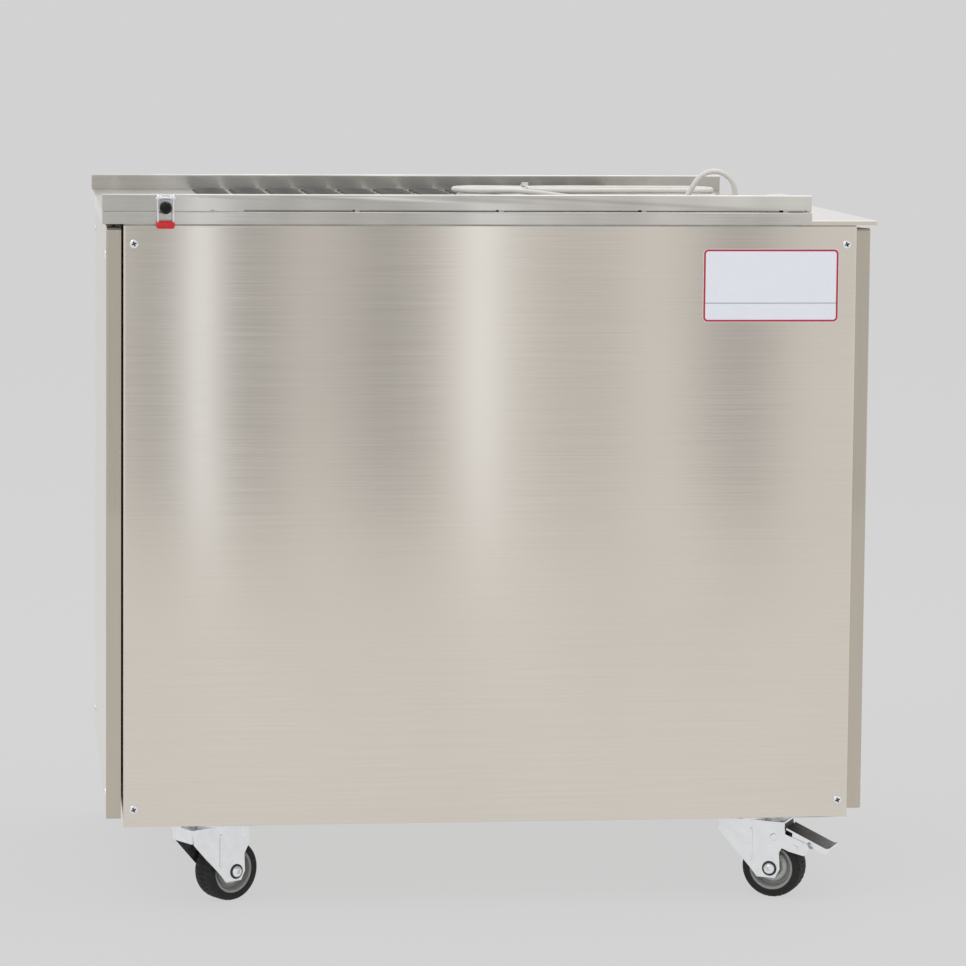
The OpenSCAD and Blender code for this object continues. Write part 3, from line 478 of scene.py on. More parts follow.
# %% [markdown]
# ## End pans
# The ends are closed by shallow pans, open towards the frame. From the front only a pan's folded
# side shows, as a darker strip beside the panel. It is made as the side panels are, with rounded
# corners too, because a pan is pressed in one piece. Its folded rim stops a few millimetres short of
# the panel, which leaves a dark joint between them.

# %% Pans
RIM_GAP = 3.5 * MM


def end_pan(name, node, outside):
    low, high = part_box(node)
    pan = box_piece(name, low, high)
    face_x, rim_x = (high.x, low.x) if outside > 0 else (low.x, high.x)
    edit(pan)
    delete_faces(lambda f, m: near(m.x, rim_x))
    choose("verts", lambda v, m: near(m.x, rim_x))
    bpy.ops.transform.translate(value=(outside * RIM_GAP, 0, 0))
    choose("edges", lambda e, m: near(abs(m.y - (low.y + high.y) / 2), (high.y - low.y) / 2)
           and near(abs(m.z - (low.z + high.z) / 2), (high.z - low.z) / 2))
    bevel(4 * MM, 4)
    choose("edges", lambda e, m: all(near(v.co.x, face_x) for v in e.verts))
    bevel(1.8 * MM, 3)
    leave()
    modified(pan, "SOLIDIFY", thickness=SHEET, offset=-1)
    rounded(pan)
    levelled(pan)
    # The darker, warmer upright steel paints shade and a warm reflection on the pan.
    clothe(pan, steel_upright_painted_shade)
    fit(pan, "cabinet", "stainless", node)


end_pan("left_end_cover", "left_end_pan", -1)
end_pan("right_end_cover", "right_end_pan", 1)

# %% [markdown]
# ## Lamp deck
# The deck is a sheet with 132 holes, folded down at its edges. One cell of the grid is a circle joined
# to the square round it. Arrays repeat the cell, its outer edges are pulled out to the deck's edges,
# and these are folded down and bevelled. The wall comes last, so holes and folds all get it.

# %% Deck cell
PITCH, HOLE_R, COLUMNS, ROWS = 48 * MM, 17 * MM, 12, 11
DECK_SHEET = 1.5 * MM
low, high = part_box("deck")
cups_low, cups_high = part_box("lamp_cups")
DECK_TOP = high.z
first = Vector(((cups_low.x + cups_high.x) / 2 - (COLUMNS - 1) / 2 * PITCH,
                (cups_low.y + cups_high.y) / 2 - (ROWS - 1) / 2 * PITCH, DECK_TOP))
bpy.ops.mesh.primitive_circle_add(vertices=32, radius=HOLE_R, fill_type="NOTHING", location=first)
deck = bpy.context.active_object
deck.name = "lamp_deck"
bpy.ops.object.transform_apply(location=True, rotation=True, scale=True)
edit(deck)
take_all()
bpy.ops.mesh.extrude_edges_move(TRANSFORM_OT_translate={"value": (0, 0, 0)})
mesh = bmesh.from_edit_mesh(deck.data)
for vertex in mesh.verts:
    if vertex.select:
        away = vertex.co - first
        vertex.co = first + away * (PITCH / 2 / max(abs(away.x), abs(away.y)))
bmesh.update_edit_mesh(deck.data)
leave()
for count, move in ((COLUMNS, (PITCH, 0, 0)), (ROWS, (0, PITCH, 0))):
    modified(deck, "ARRAY", count=count, use_relative_offset=False, use_constant_offset=True,
             constant_offset_displace=move, use_merge_vertices=True, merge_threshold=1e-5)
print("deck grid has", len(deck.data.polygons), "faces")

# %% Deck edges and folds
x0, x1 = first.x - PITCH / 2, first.x + (COLUMNS - 0.5) * PITCH
y0, y1 = first.y - PITCH / 2, first.y + (ROWS - 0.5) * PITCH


def pull(test, move):
    """Extrude the border edges that the test picks."""
    choose("edges", lambda e, m: len(e.link_faces) == 1 and test(m))
    bpy.ops.mesh.extrude_edges_move(TRANSFORM_OT_translate={"value": move})


edit(deck)
pull(lambda m: near(m.x, x0), (low.x - x0, 0, 0))
pull(lambda m: near(m.x, x1), (high.x - x1, 0, 0))
pull(lambda m: near(m.y, y0), (0, low.y - y0, 0))
pull(lambda m: near(m.y, y1), (0, high.y - y1, 0))
LIP_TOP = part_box("loading_lip")[1].z
pull(lambda m: near(m.x, high.x), (0, 0, LIP_TOP - DECK_TOP))
for side_y in (low.y, high.y):
    pull(lambda m: near(m.y, side_y) and near(m.z, DECK_TOP), (0, 0, low.z - DECK_TOP))
pull(lambda m: near(m.x, low.x) and near(m.z, DECK_TOP), (0, 0, low.z - DECK_TOP))
take_all()
bpy.ops.mesh.remove_doubles(threshold=1e-5)
choose("edges", lambda e, m: len(e.link_faces) == 2 and near(m.z, DECK_TOP)
       and (near(m.x, low.x) or near(m.x, high.x) or near(m.y, low.y) or near(m.y, high.y)))
bevel(2.2 * MM, 3)
leave()
rounded(deck)
modified(deck, "SOLIDIFY", thickness=DECK_SHEET, offset=-1)
rounded(deck)
levelled(deck)
clothe(deck, steel_deck)
fit(deck, "cabinet", "stainless", "deck")

# %% [markdown]
# ## Guide rails and loading lip
# A rail is an inverted channel, bent on a press brake, so its two upper edges are round. The lip is a
# lower sheet at the end where trays are loaded, folded down on three sides. Both are boxes that
# lose the faces that aren't there, get their bends, and then a wall.

# %% Rails and lip
def channel(name, low, high, open_faces, bend, round_edges, material):
    """A box without its open faces, with its round edges bent, in sheet as thick as the deck's."""
    piece = box_piece(name, low, high)
    edit(piece)
    delete_faces(open_faces)
    choose("edges", round_edges)
    bevel(bend, 4)
    leave()
    modified(piece, "SOLIDIFY", thickness=DECK_SHEET, offset=-1)
    eased(piece, 0.3 * MM, 1, 60)
    rounded(piece)
    levelled(piece)
    clothe(piece, material)
    return piece


def rail(name, node):
    low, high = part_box(node)
    return channel(name, low, high, lambda f, m: near(m.z, low.z) or near(m.x, low.x) or near(m.x, high.x),
                   2.5 * MM, lambda e, m: near(m.z, high.z) and near(m.x, (low.x + high.x) / 2), steel_deck)


# The near rail is tacked to the deck in five places, and a thin slit stays open between the tacks
WELDS, TACK_HALF = 5, 3 * MM
SLIT_FROM, SLIT_DEPTH, SLIT_TOP = 90 * MM, 2.5 * MM, 2.2 * MM
near_rail = rail("near_guide_rail", "near_rail")
far_rail = rail("far_guide_rail", "far_rail")
plunger_low, plunger_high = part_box("stop_plunger")
STOP_X = (plunger_low.x + plunger_high.x) / 2
STOP_Z = (plunger_low.z + plunger_high.z) / 2
rail_low, rail_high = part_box("near_rail")
# The plunger goes through a hole in the near rail
bpy.ops.mesh.primitive_cylinder_add(vertices=24, radius=2.9 * MM, depth=60 * MM, rotation=(math.pi / 2, 0, 0),
                                    location=(STOP_X, (rail_low.y + rail_high.y) / 2, STOP_Z))
cut(near_rail, bpy.context.active_object)
tacks_low, tacks_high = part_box("rail_welds")
spacing = (tacks_high.x - tacks_low.x - 2 * TACK_HALF) / (WELDS - 1)
TACKS = [tacks_low.x + TACK_HALF + i * spacing for i in range(WELDS)]
for start, end in zip([STOP_X + SLIT_FROM] + TACKS[1:], TACKS[1:] + [rail_high.x]):
    cut(near_rail, box_piece("slit", (start + TACK_HALF, rail_low.y - MM, rail_low.z - MM),
                             (end - TACK_HALF, rail_low.y + SLIT_DEPTH, rail_low.z + SLIT_TOP)))
fit(near_rail, "cabinet", "stainless", "near_rail")
fit(far_rail, "cabinet", "stainless", "far_rail")

lip_low, lip_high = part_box("loading_lip")
lip = channel("loading_lip_sheet", lip_low, lip_high,
              lambda f, m: near(m.z, lip_low.z) or near(m.x, lip_low.x), 1.8 * MM,
              lambda e, m: not near(m.x, lip_low.x) and not near(m.z, lip_low.z), steel_along_y)
fit(lip, "cabinet", "stainless", "loading_lip")

# %% [markdown]
# ## Screws and welds
# The panels are held by pan head screws with a cross recess. A pan head is a low dome with an upright
# rim. Its outline is spun once, the cross is cut with two crossed boxes, and the finished head is
# copied to every place, which comes from the corners of the CAD nodes.

# %% Pan head screw
HEAD_R, HEAD_H = 5.5 * MM, 2.4 * MM
RECESS_TURN = 0.35
head = turned_piece("pan_head", [
    (0, 2.4), (2.75, 2.328), (4.29, 1.92), (5.17, 1.2), (5.5, 0.36), (5.5, 0), (0, 0)
], steps=28, to_axis=True)
for turn in (RECESS_TURN, RECESS_TURN + math.pi / 2):
    slot_box = box_piece("recess", (-3 * MM, -0.9 * MM, 0.7 * MM), (3 * MM, 0.9 * MM, 4 * MM))
    slot_box.data.transform(Matrix.Rotation(turn, 4, "Z"))
    cut(head, slot_box)
rounded(head, 40)
clothe(head, zinc_plate, painted_shade_zinc)
# The faces inside the cross recess take the darker zinc: painted shade in the recess.
for face in head.data.polygons:
    recess_shade = math.hypot(face.center.x, face.center.y) < 3.2 * MM and 0.1 * MM < face.center.z < 1.9 * MM
    face.material_index = int(recess_shade)
print("screw head has", len(head.data.polygons), "faces")

# %% Screws at their places
def corners(node, inset_x, inset_y, inset_z):
    low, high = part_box(node)
    inset = Vector((inset_x, inset_y, inset_z))
    low, high = low + inset, high - inset
    return [Vector((x, y, z)) for x in (low.x, high.x) for y in (low.y, high.y)
            for z in ((low.z, high.z) if inset_z else (low.z,))]


def screws(name, node, places):
    heads = [copied(head, "head", Matrix.Translation(p) @ turn) for p, turn in places]
    fit(join(name, heads), "cabinet", "zinc", node)


towards = {axis: Vector(axis).to_track_quat("Z", "Y").to_matrix().to_4x4()
           for axis in ((0, -1, 0), (0, 1, 0), (-1, 0, 0), (1, 0, 0), (0, 0, 1))}
screws("side_panel_screws", "panel_screws", [
    (p, towards[(0, -1, 0) if p.y < 0 else (0, 1, 0)])
    for p in corners("panel_screws", HEAD_R, HEAD_H, HEAD_R)])
screws("end_cover_screws", "pan_screws", [
    (p, towards[(-1, 0, 0) if p.x < 0 else (1, 0, 0)])
    for p in corners("pan_screws", HEAD_H, HEAD_R, HEAD_R)])
screws("lamp_deck_screws", "deck_screws", [
    (Vector((p.x, p.y, DECK_TOP)), towards[(0, 0, 1)]) for p in corners("deck_screws", HEAD_R, HEAD_R, 0)])
discard(head)

# %% Tack welds
bpy.ops.object.select_all(action="DESELECT")
bpy.ops.mesh.primitive_ico_sphere_add(subdivisions=2, radius=1)
blob = bpy.context.active_object
edit(blob)
take_all()
bpy.ops.transform.vertex_random(offset=0.12, seed=4)
leave()
blob.data.transform(Matrix.Diagonal((3.2 * MM, 1.7 * MM, 1.8 * MM, 1)))
beads = []
for i, x in enumerate(TACKS):
    for y in (rail_low.y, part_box("far_rail")[1].y):
        turn = Matrix.Rotation(0.4 * i, 4, "X")
        beads.append(copied(blob, "bead", Matrix.Translation((x, y, DECK_TOP + 0.1 * MM)) @ turn))
discard(blob)
beads = join("rail_tack_welds", beads)
rounded(beads, 60)
clothe(beads, mill_tube)
fit(beads, "cabinet", "stainless", "rail_welds")

# %% [markdown]
# ## Rating plate
# The plate is a printed film with a red border line, stuck on the panel. It is left bare inside. Insets
# divide its face into a margin, the border and the field, and two bisects give the thin rule
# above its lowest row, so every line has a real width and stays sharp in any view.

# %% Rating plate
plate_low, plate_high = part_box("rating_plate")
plate_mid = (plate_low + plate_high) / 2
plate = box_piece("rating_plate_film", plate_low, plate_high)
clothe(plate, film_face, film_line, film_rule)


def print_selected(slot):
    """In edit mode, give the selected faces the material in this slot."""
    plate.active_material_index = slot
    bpy.ops.object.material_slot_assign()


edit(plate)
choose("edges", lambda e, m: not near(m.x, plate_mid.x) and not near(m.z, plate_mid.z))
bevel(6 * MM, 6)
choose("faces", lambda f, m: near(m.y, plate_low.y))
bpy.ops.mesh.inset(thickness=0.5 * MM)
print_selected(1)
bpy.ops.mesh.inset(thickness=2.4 * MM)
print_selected(0)
rule_z = plate_high.z - 0.735 * (plate_high.z - plate_low.z)
for z in (rule_z, rule_z - 0.9 * MM):
    bpy.ops.mesh.bisect(plane_co=(0, 0, z), plane_no=(0, 0, 1))
    choose("faces", lambda f, m: near(m.y, plate_low.y) and near(m.x, plate_mid.x, MM) and m.z < rule_z)
choose("faces", lambda f, m: near(m.y, plate_low.y) and near(m.x, plate_mid.x, MM)
       and near(m.z, rule_z - 0.45 * MM, 0.1 * MM))
print_selected(2)
leave()
print("printed faces:", sum(f.material_index for f in plate.data.polygons))
fit(plate, "cabinet", "plate_face", "rating_plate")

# %% [markdown]
# ## Tray stop
# A small sprung fitting on the near rail holds a tray in place. Its bracket and handle are pressed and
# plated, its knob is moulded and its grip is dipped in red vinyl. The plated parts keep their CAD
# shape with eased edges. The knob is spun with the flat collar that a moulded ball has, and the grip
# is rounded all over, as a dipped end is.

# %% Tray stop
for node, width, body in (("stop_bracket", 0.45, "cabinet"), ("stop_handle", 0.5, "stop_handle"),
                          ("stop_plunger", 0.35, "stop_plunger")):
    kept(node, "tray_" + node, width * MM, body, "zinc", zinc_plate)

knob_low, knob_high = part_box("stop_knob")
r = (knob_high.x - knob_low.x) / 2 / MM
ball = [(r * math.sin(math.radians(a)), r * math.cos(math.radians(a))) for a in range(10, 141, 10)]
collar = [(r * 0.62, -r * 0.8), (r * 0.6, 1 - r), (0, 1 - r)]
knob = turned_piece("tray_stop_knob", [(0, r)] + ball + collar, steps=40, to_axis=True)
knob.data.transform(Matrix.Translation((STOP_X, knob_low.y + r * MM, STOP_Z)) @ towards[(0, -1, 0)])
clothe(knob, phenolic)
fit(knob, "stop_plunger", "black_plastic", "stop_knob")

grip_low, grip_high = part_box("stop_grip")
grip = box_piece("tray_stop_grip", grip_low, grip_high)
edit(grip)
take_all()
bevel(3.2 * MM, 5)
leave()
rounded(grip, 60)
clothe(grip, dipped_vinyl)
fit(grip, "stop_handle", "red_grip", "stop_grip")

# %% [markdown]
# ## Casters
# Each caster is a pressed plate, a fork, a wheel and its axle bolt, and the two under the loading end
# have a brake pedal. One of each piece is modelled with its kingpin at the origin and its wheel
# towards +X, and then copied to the four kingpins and turned as each one has swivelled.

# %% Where the casters are
TRAIL, WHEEL_R, LEG_OUT = 28 * MM, 37.5 * MM, 21.5 * MM
PLATE_L, PLATE_W = 94 * MM, 64 * MM
plates_low, plates_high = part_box("caster_plates")
pin_x = (plates_high.x - plates_low.x - PLATE_L) / 2
pin_y = (plates_high.y - plates_low.y - PLATE_W) / 2
middle_y = (plates_high.y + plates_low.y) / 2
# Side along X, side along Y and swivel angle in degrees
CASTERS = {"near_left": (-1, -1, 33), "near_right": (1, -1, -28),
           "far_left": (-1, 1, 152), "far_right": (1, 1, -12)}
caster_at = {name: Matrix.Translation((sx * pin_x, middle_y + sy * pin_y, 0))
             @ Matrix.Rotation(math.radians(angle), 4, "Z") for name, (sx, sy, angle) in CASTERS.items()}
print("kingpins at", {n: [round(v, 4) for v in m.translation[:2]] for n, m in caster_at.items()})

# %% Plates and bolts
for node, name in (("caster_plates", "caster_top_plates"), ("caster_bolts", "caster_plate_bolts")):
    kept(node, name, 0.5 * MM, "cabinet", "zinc", zinc_plate)

# %% [markdown]
# The tyre is solid rubber on a nylon core. Its outline has round shoulders and two shallow grooves, and
# cross grooves are pressed into every other segment of its tread, as a non-slip tyre has. The core
# is dished, with a lighter ring that covers its bearing.

# %% Tyre
TYRE = [(27.5, -16), (29.5, -16), (34.3, -15.7), (36.2, -14), (37.2, -11), (37.5, -7), (37.5, -3.2),
        (36.8, -2.6), (36.8, -1.8), (37.5, -1.2)]
TREADS = 72


def on_tread(face, place):
    """Every other face of the tread, on both sides of the grooves."""
    turn = math.degrees(math.atan2(place.y, place.x)) % 360
    return (math.hypot(place.x, place.y) > 36.5 * MM and 4 * MM < abs(place.z) < 13 * MM
            and round(turn / 360 * TREADS - 0.5) % 2 == 0)


tyre = turned_piece("wheel_tyre", TYRE + [(r, -h) for r, h in reversed(TYRE)], steps=TREADS)
edit(tyre)
count = choose("faces", on_tread)
bpy.ops.mesh.inset(thickness=0.5 * MM, depth=-0.7 * MM, use_individual=False)
leave()
rounded(tyre, 40)
clothe(tyre, tyre_rubber)
print(count, "tread faces pressed in")

# %% Core and ring
CORE = [(6.05, -18.6), (9.4, -18.6), (10, -18), (10.5, -6), (12, -5), (21, -5), (22.5, -6), (24.6, -14.6),
        (25.4, -15), (27.5, -15)]
RING = [(11, 4.5), (11, 8), (13.5, 9.5), (17, 9.2), (18.4, 7.6), (18.6, 4.5)]
core = turned_piece("wheel_core", CORE + [(r, -h) for r, h in reversed(CORE)], steps=56)
clothe(core, wheel_nylon)
rings = []
for side in (-1, 1):
    ring = turned_piece("bearing_ring", [(r, side * h) for r, h in RING], steps=56)
    clothe(ring, ring_nylon)
    rings.append(ring)
core = join("wheel_core", [core] + rings)
rounded(core)

# %% Wheels at their places
on_axle = Matrix.Translation((TRAIL, 0, WHEEL_R)) @ Matrix.Rotation(math.pi / 2, 4, "X")
for corner, place in caster_at.items():
    for source, part, slot in ((tyre, "tyre", "tyre"), (core, "hub", "rim")):
        piece = copied(source, f"{corner}_wheel_{part}", place @ on_axle)
        fit(piece, corner + "_wheel", slot, f"{corner}_{part}")
discard(tyre, core)

# %% [markdown]
# The fork is pressed from one sheet, with an upright crease in each leg that stiffens it. The CAD shape
# gets eased edges, and the crease is a flat outline that is extruded and bevelled. The braked forks
# have a rivet more, turned from a profile. The axle bolt turns on a dark spring washer, whose darkness
# also paints the shaded groove round the button head, which has a hexagon socket. A pedal's tread is
# painted darker where it faces up, a painted reflection of the shaded cabinet underside, and its folded
# edges stay bright.

# %% Crease and rivet
# Across and up in mm for the crease, and radius and height in mm for the rest
CREASE = [(3, 86), (3, 47), (4.5, 44), (6, 47), (6, 86)]
RIVET = [(0, 1.6), (2.4, 1.5), (4.1, 0.9), (4.7, 0.2), (4.7, 0), (0, 0)]
WASHER = [(5.5, 0), (9.2, 0), (9.2, 0.5), (8.9, 0.8), (5.5, 0.8)]
BUTTON = [(0, 1.6), (2.2, 1.6), (2.4, 1.8), (2.4, 4.6), (3.4, 4.5), (5.4, 3.6), (6.6, 2.2), (6.9, 1.2),
          (6.9, 0.8), (0, 0.8)]
SHANK = [(0, -23), (4, -23), (4, -19), (6, -19), (6, 19), (4, 19), (4, 27), (0, 27)]


def crease(side):
    strip = outline_piece("crease", [(x * MM, side * LEG_OUT, z * MM) for x, z in CREASE])
    edit(strip)
    take_all()
    bpy.ops.mesh.extrude_region_move(TRANSFORM_OT_translate={"value": (0, side * 1.3 * MM, 0)})
    leave()
    eased(strip, 1.1 * MM, 3, 60)
    rounded(strip)
    return strip


def on_leg(piece, side, x, z):
    """Lay a turned piece against the outer face of a leg."""
    turn = Matrix.Rotation(-side * math.pi / 2, 4, "X")
    piece.data.transform(Matrix.Translation((x, side * LEG_OUT, z)) @ turn)
    return piece


def rivet(side):
    return on_leg(turned_piece("rivet", RIVET, steps=24, to_axis=True), side, TRAIL + 5 * MM, 77 * MM)


def axle_bolt():
    """Sleeve and shank, a button head on its washer at the near side and a nut at the far side."""
    shank = turned_piece("axle_bolt", SHANK, steps=32, to_axis=True)
    shank.data.transform(Matrix.Translation((TRAIL, 0, WHEEL_R)) @ Matrix.Rotation(-math.pi / 2, 4, "X"))
    button = on_leg(turned_piece("button", BUTTON, steps=32, to_axis=True), -1, TRAIL, WHEEL_R)
    bpy.ops.mesh.primitive_cylinder_add(vertices=6, radius=7.4 * MM, depth=5.7 * MM,
                                        location=(0, 0, 3.65 * MM))
    nut = bpy.context.active_object
    bpy.ops.object.transform_apply(location=True, rotation=True, scale=True)
    modified(nut, "BEVEL", width=0.7 * MM, segments=2)
    rounded(nut)
    on_leg(nut, 1, TRAIL, WHEEL_R)
    for piece in (shank, button, nut):
        clothe(piece, zinc_plate)
    washers = []
    for side in (-1, 1):
        # The washers take the darker zinc: a dark washer that also paints the shaded groove round the bolt
        # head.
        washer = turned_piece("spring_washer", WASHER, steps=32)
        clothe(washer, painted_shade_zinc)
        washers.append(on_leg(washer, side, TRAIL, WHEEL_R))
    return join("axle_bolt", [shank, button, nut] + washers)


# %% Forks, axles and brakes
bolt = axle_bolt()
for corner, place in caster_at.items():
    swivel = corner + "_swivel"
    details = [crease(side) for side in (-1, 1)]
    if corner.endswith("right"):
        details += [rivet(side) for side in (-1, 1)]
    for detail in details:
        detail.data.transform(place)
    fork = join(corner + "_pressed_fork", [softened(corner + "_fork", "fork", 0.7 * MM)] + details)
    clothe(fork, zinc_plate)
    fit(fork, swivel, "zinc", corner + "_fork")
    fit(copied(bolt, corner + "_axle_bolt", place), swivel, "zinc", corner + "_axle")
    if corner.endswith("right"):
        pedal = kept(corner + "_brake", corner + "_brake_pedal", 0.6 * MM, corner + "_pedal", "zinc",
                     zinc_plate, painted_shade_zinc)
        # Upward faces of the tread take the darker zinc: a painted reflection of the shaded cabinet
        # underside.
        for face in pedal.data.polygons:
            face.material_index = int(face.normal.z > 0.6 and face.area > 2e-5)
discard(bolt)

# %% [markdown]
# ## Mains cord
# The cord leaves the deck through a bush near the loading end, runs along the deck and is wound into a
# hank with a tie round its waist. Its tail goes back along the deck to the plug. It is one curve
# through route points, with more points laid between them by a spline that passes through all.

# %% Route
BUSH = Vector((300 * MM, -240 * MM, DECK_TOP))
CORD_D = 6.5 * MM
# Points in mm, measured from the bush on the deck
LEAD = [
    (0, 0, 14), (0, 0, 21), (-3.5, 0, 34), (-13, 0, 43.5), (-26, 0, 47),
    (-39, 0, 43.5), (-48.5, 0.5, 34), (-57, 1, 19.6), (-66.5, 2, 10.1), (-79.5, 4, 6.6),
    (-105, 9, 6.5), (-135, 18, 6.5), (-172, 33, 6.5), (-210, 52, 6.5), (-245, 70, 6.5),
    (-275, 84, 6.5), (-304, 93, 6.5), (-327, 104, 6.5), (-340, 124, 6.5), (-340, 148, 6.6),
    (-326, 168, 7), (-304, 176.2, 7.5), (-282, 177, 7.7), (-275, 177, 7.7)
]
TAIL = [
    (-275, 177, 14.9), (-268, 177, 14.9), (-245, 175.5, 14.7), (-215, 171, 12.5), (-185, 163.5, 9),
    (-155, 155, 6.8), (-120, 144.5, 6.6), (-85, 132, 6.6), (-55, 117, 5.2), (-30, 98, 3.8),
    (-12, 75, 4), (-2, 52, 6), (11, 33, 8.2), (30, 25, 9), (37, 25, 9)
]

# %% Hank
# All in mm from the bush: the hank's middle and lowest layer, its straight run, its loops, and its waist
HANK_X, HANK_Y, HANK_Z, RUN = -150, 220, 7.7, 250
TURNS, OUTER, STEP, LAYER = 5, 43, 9.6, 7.2
WAIST_X, WAIST_L, WAIST_IN = -75, 62, 0.25
# A turn has 24 steps: 5 along the run, 7 round the fold, and the same again on the way back
ALONG, ROUND = 5, 7
STEPS = 2 * (ALONG + ROUND)


def waist(x):
    """How far the tie draws the loops in at this place along the hank."""
    if abs(x - WAIST_X) >= WAIST_L:
        return 1.0
    return 1 - WAIST_IN * math.cos(math.radians(90 * (x - WAIST_X) / WAIST_L)) ** 2


def hank_point(t):
    """Loops that spiral in along one layer and out again along the next, drawn in at the waist."""
    step = (t - math.floor(t)) * STEPS
    back = step >= ALONG + ROUND
    k, way = (step - ALONG - ROUND, -1) if back else (step, 1)
    r = OUTER - STEP * min(t, TURNS - t)
    z = HANK_Z + LAYER * min(max((t - TURNS / 2) * STEPS / ALONG, 0), 1)
    if k < ALONG:
        x = way * (RUN * k / ALONG - RUN / 2)
        y = -way * r * waist(x)
    else:
        a = math.radians(180 * (k - ALONG) / ROUND - 90)
        x, y = way * (RUN / 2 + r * math.cos(a)), way * r * math.sin(a)
    return HANK_X + x, HANK_Y + y, z


def smooth(points, steps):
    """A curve through all the points, with more laid between each pair."""
    out = []
    for i in range(len(points) - 1):
        a, b = Vector(points[max(i - 1, 0)]), Vector(points[i])
        c, d = Vector(points[i + 1]), Vector(points[min(i + 2, len(points) - 1)])
        for s in range(steps):
            t = s / steps
            out.append(0.5 * (2 * b + (c - a) * t + (2 * a - 5 * b + 4 * c - d) * t * t
                              + (3 * b - a - 3 * c + d) * t * t * t))
    return out + [Vector(points[-1])]


hank = [hank_point(i / STEPS) for i in range(TURNS * STEPS + 1)]
route = [BUSH + p * MM for p in smooth(LEAD[:-1] + hank + TAIL[1:], 4)]


# %% Cord curve
def cord_curve(name, points, diameter):
    data = bpy.data.curves.new(name, "CURVE")
    data.dimensions = "3D"
    data.bevel_depth = diameter / 2
    data.bevel_resolution = 3
    data.use_fill_caps = True
    line = data.splines.new("POLY")
    line.points.add(len(points) - 1)
    for point, place in zip(line.points, points):
        point.co = (*place, 1)
    data.materials.append(pvc_sheath)
    return new_object(name, data)


cord = cord_curve("mains_cord", route, CORD_D)
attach(cord, "cabinet")
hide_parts("cord_lead", "cord_hank", "cord_tail")

# %% Bush and tie
bush = turned_piece("strain_relief_bush", [
    (0, -12), (5, -12), (7.8, -4.5), (7.8, -1.5), (7, -1.5), (7, 0), (10, 0), (10, 2), (9, 3), (6.5, 3.5),
    (6.2, 5.5), (5.4, 5.7), (5.4, 6.5), (5.9, 6.7), (5.5, 8.7), (4.9, 8.9), (4.9, 9.7), (5.2, 9.9),
    (4.6, 14), (0, 14)
], steps=32, to_axis=True)
bush.data.transform(Matrix.Translation(BUSH))
clothe(bush, pvc_moulding)
fit(bush, "cabinet", "cord_fittings", "cord_bush")
tie = kept("cord_tie", "hank_tie", 0.3 * MM, "cabinet", "cord_fittings", pvc_moulding)

# %% [markdown]
# The plug is moulded on the cord: a body that is waisted where fingers hold it, a neck that tapers to
# the cord, and three flat blades.

# %% Plug
plug_low, plug_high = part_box("plug")
# The place where the cord enters the plug, in the middle of its body's height
PX, PY, PZ = 337 * MM, (plug_low.y + plug_high.y) / 2, DECK_TOP + 9 * MM
plug = box_piece("moulded_plug", (PX + 10 * MM, plug_low.y, DECK_TOP + 0.2 * MM),
                 (PX + 32 * MM, plug_high.y, DECK_TOP + 18 * MM))
edit(plug)
choose("faces", lambda f, m: near(m.x, PX + 10 * MM))
for move, shrink in ((4, 0.62), (6, 0.45)):
    bpy.ops.mesh.extrude_region_move(TRANSFORM_OT_translate={"value": (-move * MM, 0, 0)})
    bpy.ops.transform.resize(value=(1, shrink, 0.8), center_override=(PX, PY, PZ))
take_all()
bevel(2.2 * MM, 4)
leave()
rounded(plug, 50)
clothe(plug, pvc_moulding, plated_blade)
blades = []
# Two upright blades and a flat one: their middle, half width and half height across the plug
for across, half_y, half_z in ((8, 0.8, 3), (-8, 0.8, 3), (0, 3, 0.8)):
    blade = box_piece("blade", (PX + 30 * MM, PY + (across - half_y) * MM, PZ - half_z * MM),
                      (PX + 45 * MM, PY + (across + half_y) * MM, PZ + half_z * MM))
    modified(blade, "BEVEL", width=0.5 * MM, segments=2)
    clothe(blade, plated_blade)
    blades.append(blade)
plug = join("moulded_plug", [plug] + blades)
fit(plug, "cabinet", "cord_fittings", "plug")

# %% Lead inside the cabinet
# From under the bush down to the power supply, in mm from the bush
INNER = [
    (0, 0, -12), (0, 0, -19), (0, 1, -63), (0, 7, -143), (0, 18, -243), (1, 32, -343), (1, 48, -443),
    (2, 64, -543), (2, 76, -613), (2, 81.5, -650), (2, 82, -673), (2, 82, -683.5)
]
inner_route = [BUSH + p * MM for p in smooth(INNER, 3)]
inner = cord_curve("inner_mains_lead", inner_route, CORD_D)
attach(inner, "cabinet")
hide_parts("inner_lead")

# %% [markdown]
# ## Switch and what is inside
# The rocker switch sits in the far panel. The pieces behind the panels keep their CAD shapes: frame
# tubes, shelf, lamp board, cups, lenses and power supply. Each gets the finish of its real material.

# %% Switch
for node, name, body in (("switch_bezel", "rocker_switch_bezel", "cabinet"),
                         ("switch_rocker", "rocker_switch_key", "switch_rocker")):
    kept(node, name, 0.4 * MM, body, "black_plastic", switch_plastic)

# %% Finishes of the CAD pieces that stay
for material, names in (
        (mill_tube, ("frame_posts", "frame_top_ring", "frame_base_ring", "cross_members", "deck_bearers")),
        (steel_along_x, ("base_shelf",)), (cup_rubber, ("lamp_cups",)), (opal_lens, ("lamp_lenses",)),
        (zinc_plate, ("reflector_tubes", "board_standoffs")), (board_mask, ("lamp_board",)),
        (supply_case, ("power_supply",))):
    for name in names:
        clothe(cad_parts[name], material)
shown = [name for name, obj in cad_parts.items() if not obj.hide_render]
print(len(shown), "CAD pieces stay in view:", shown)

# %% [markdown]
# ## Studio
# The backdrop is a sheet of grey paper that curves up behind the table. Seen straight, most of its
# light is its own colour, so it stays an even grey and still keeps a soft shadow.

# %% Backdrop
PAPER = "d3d3d3"
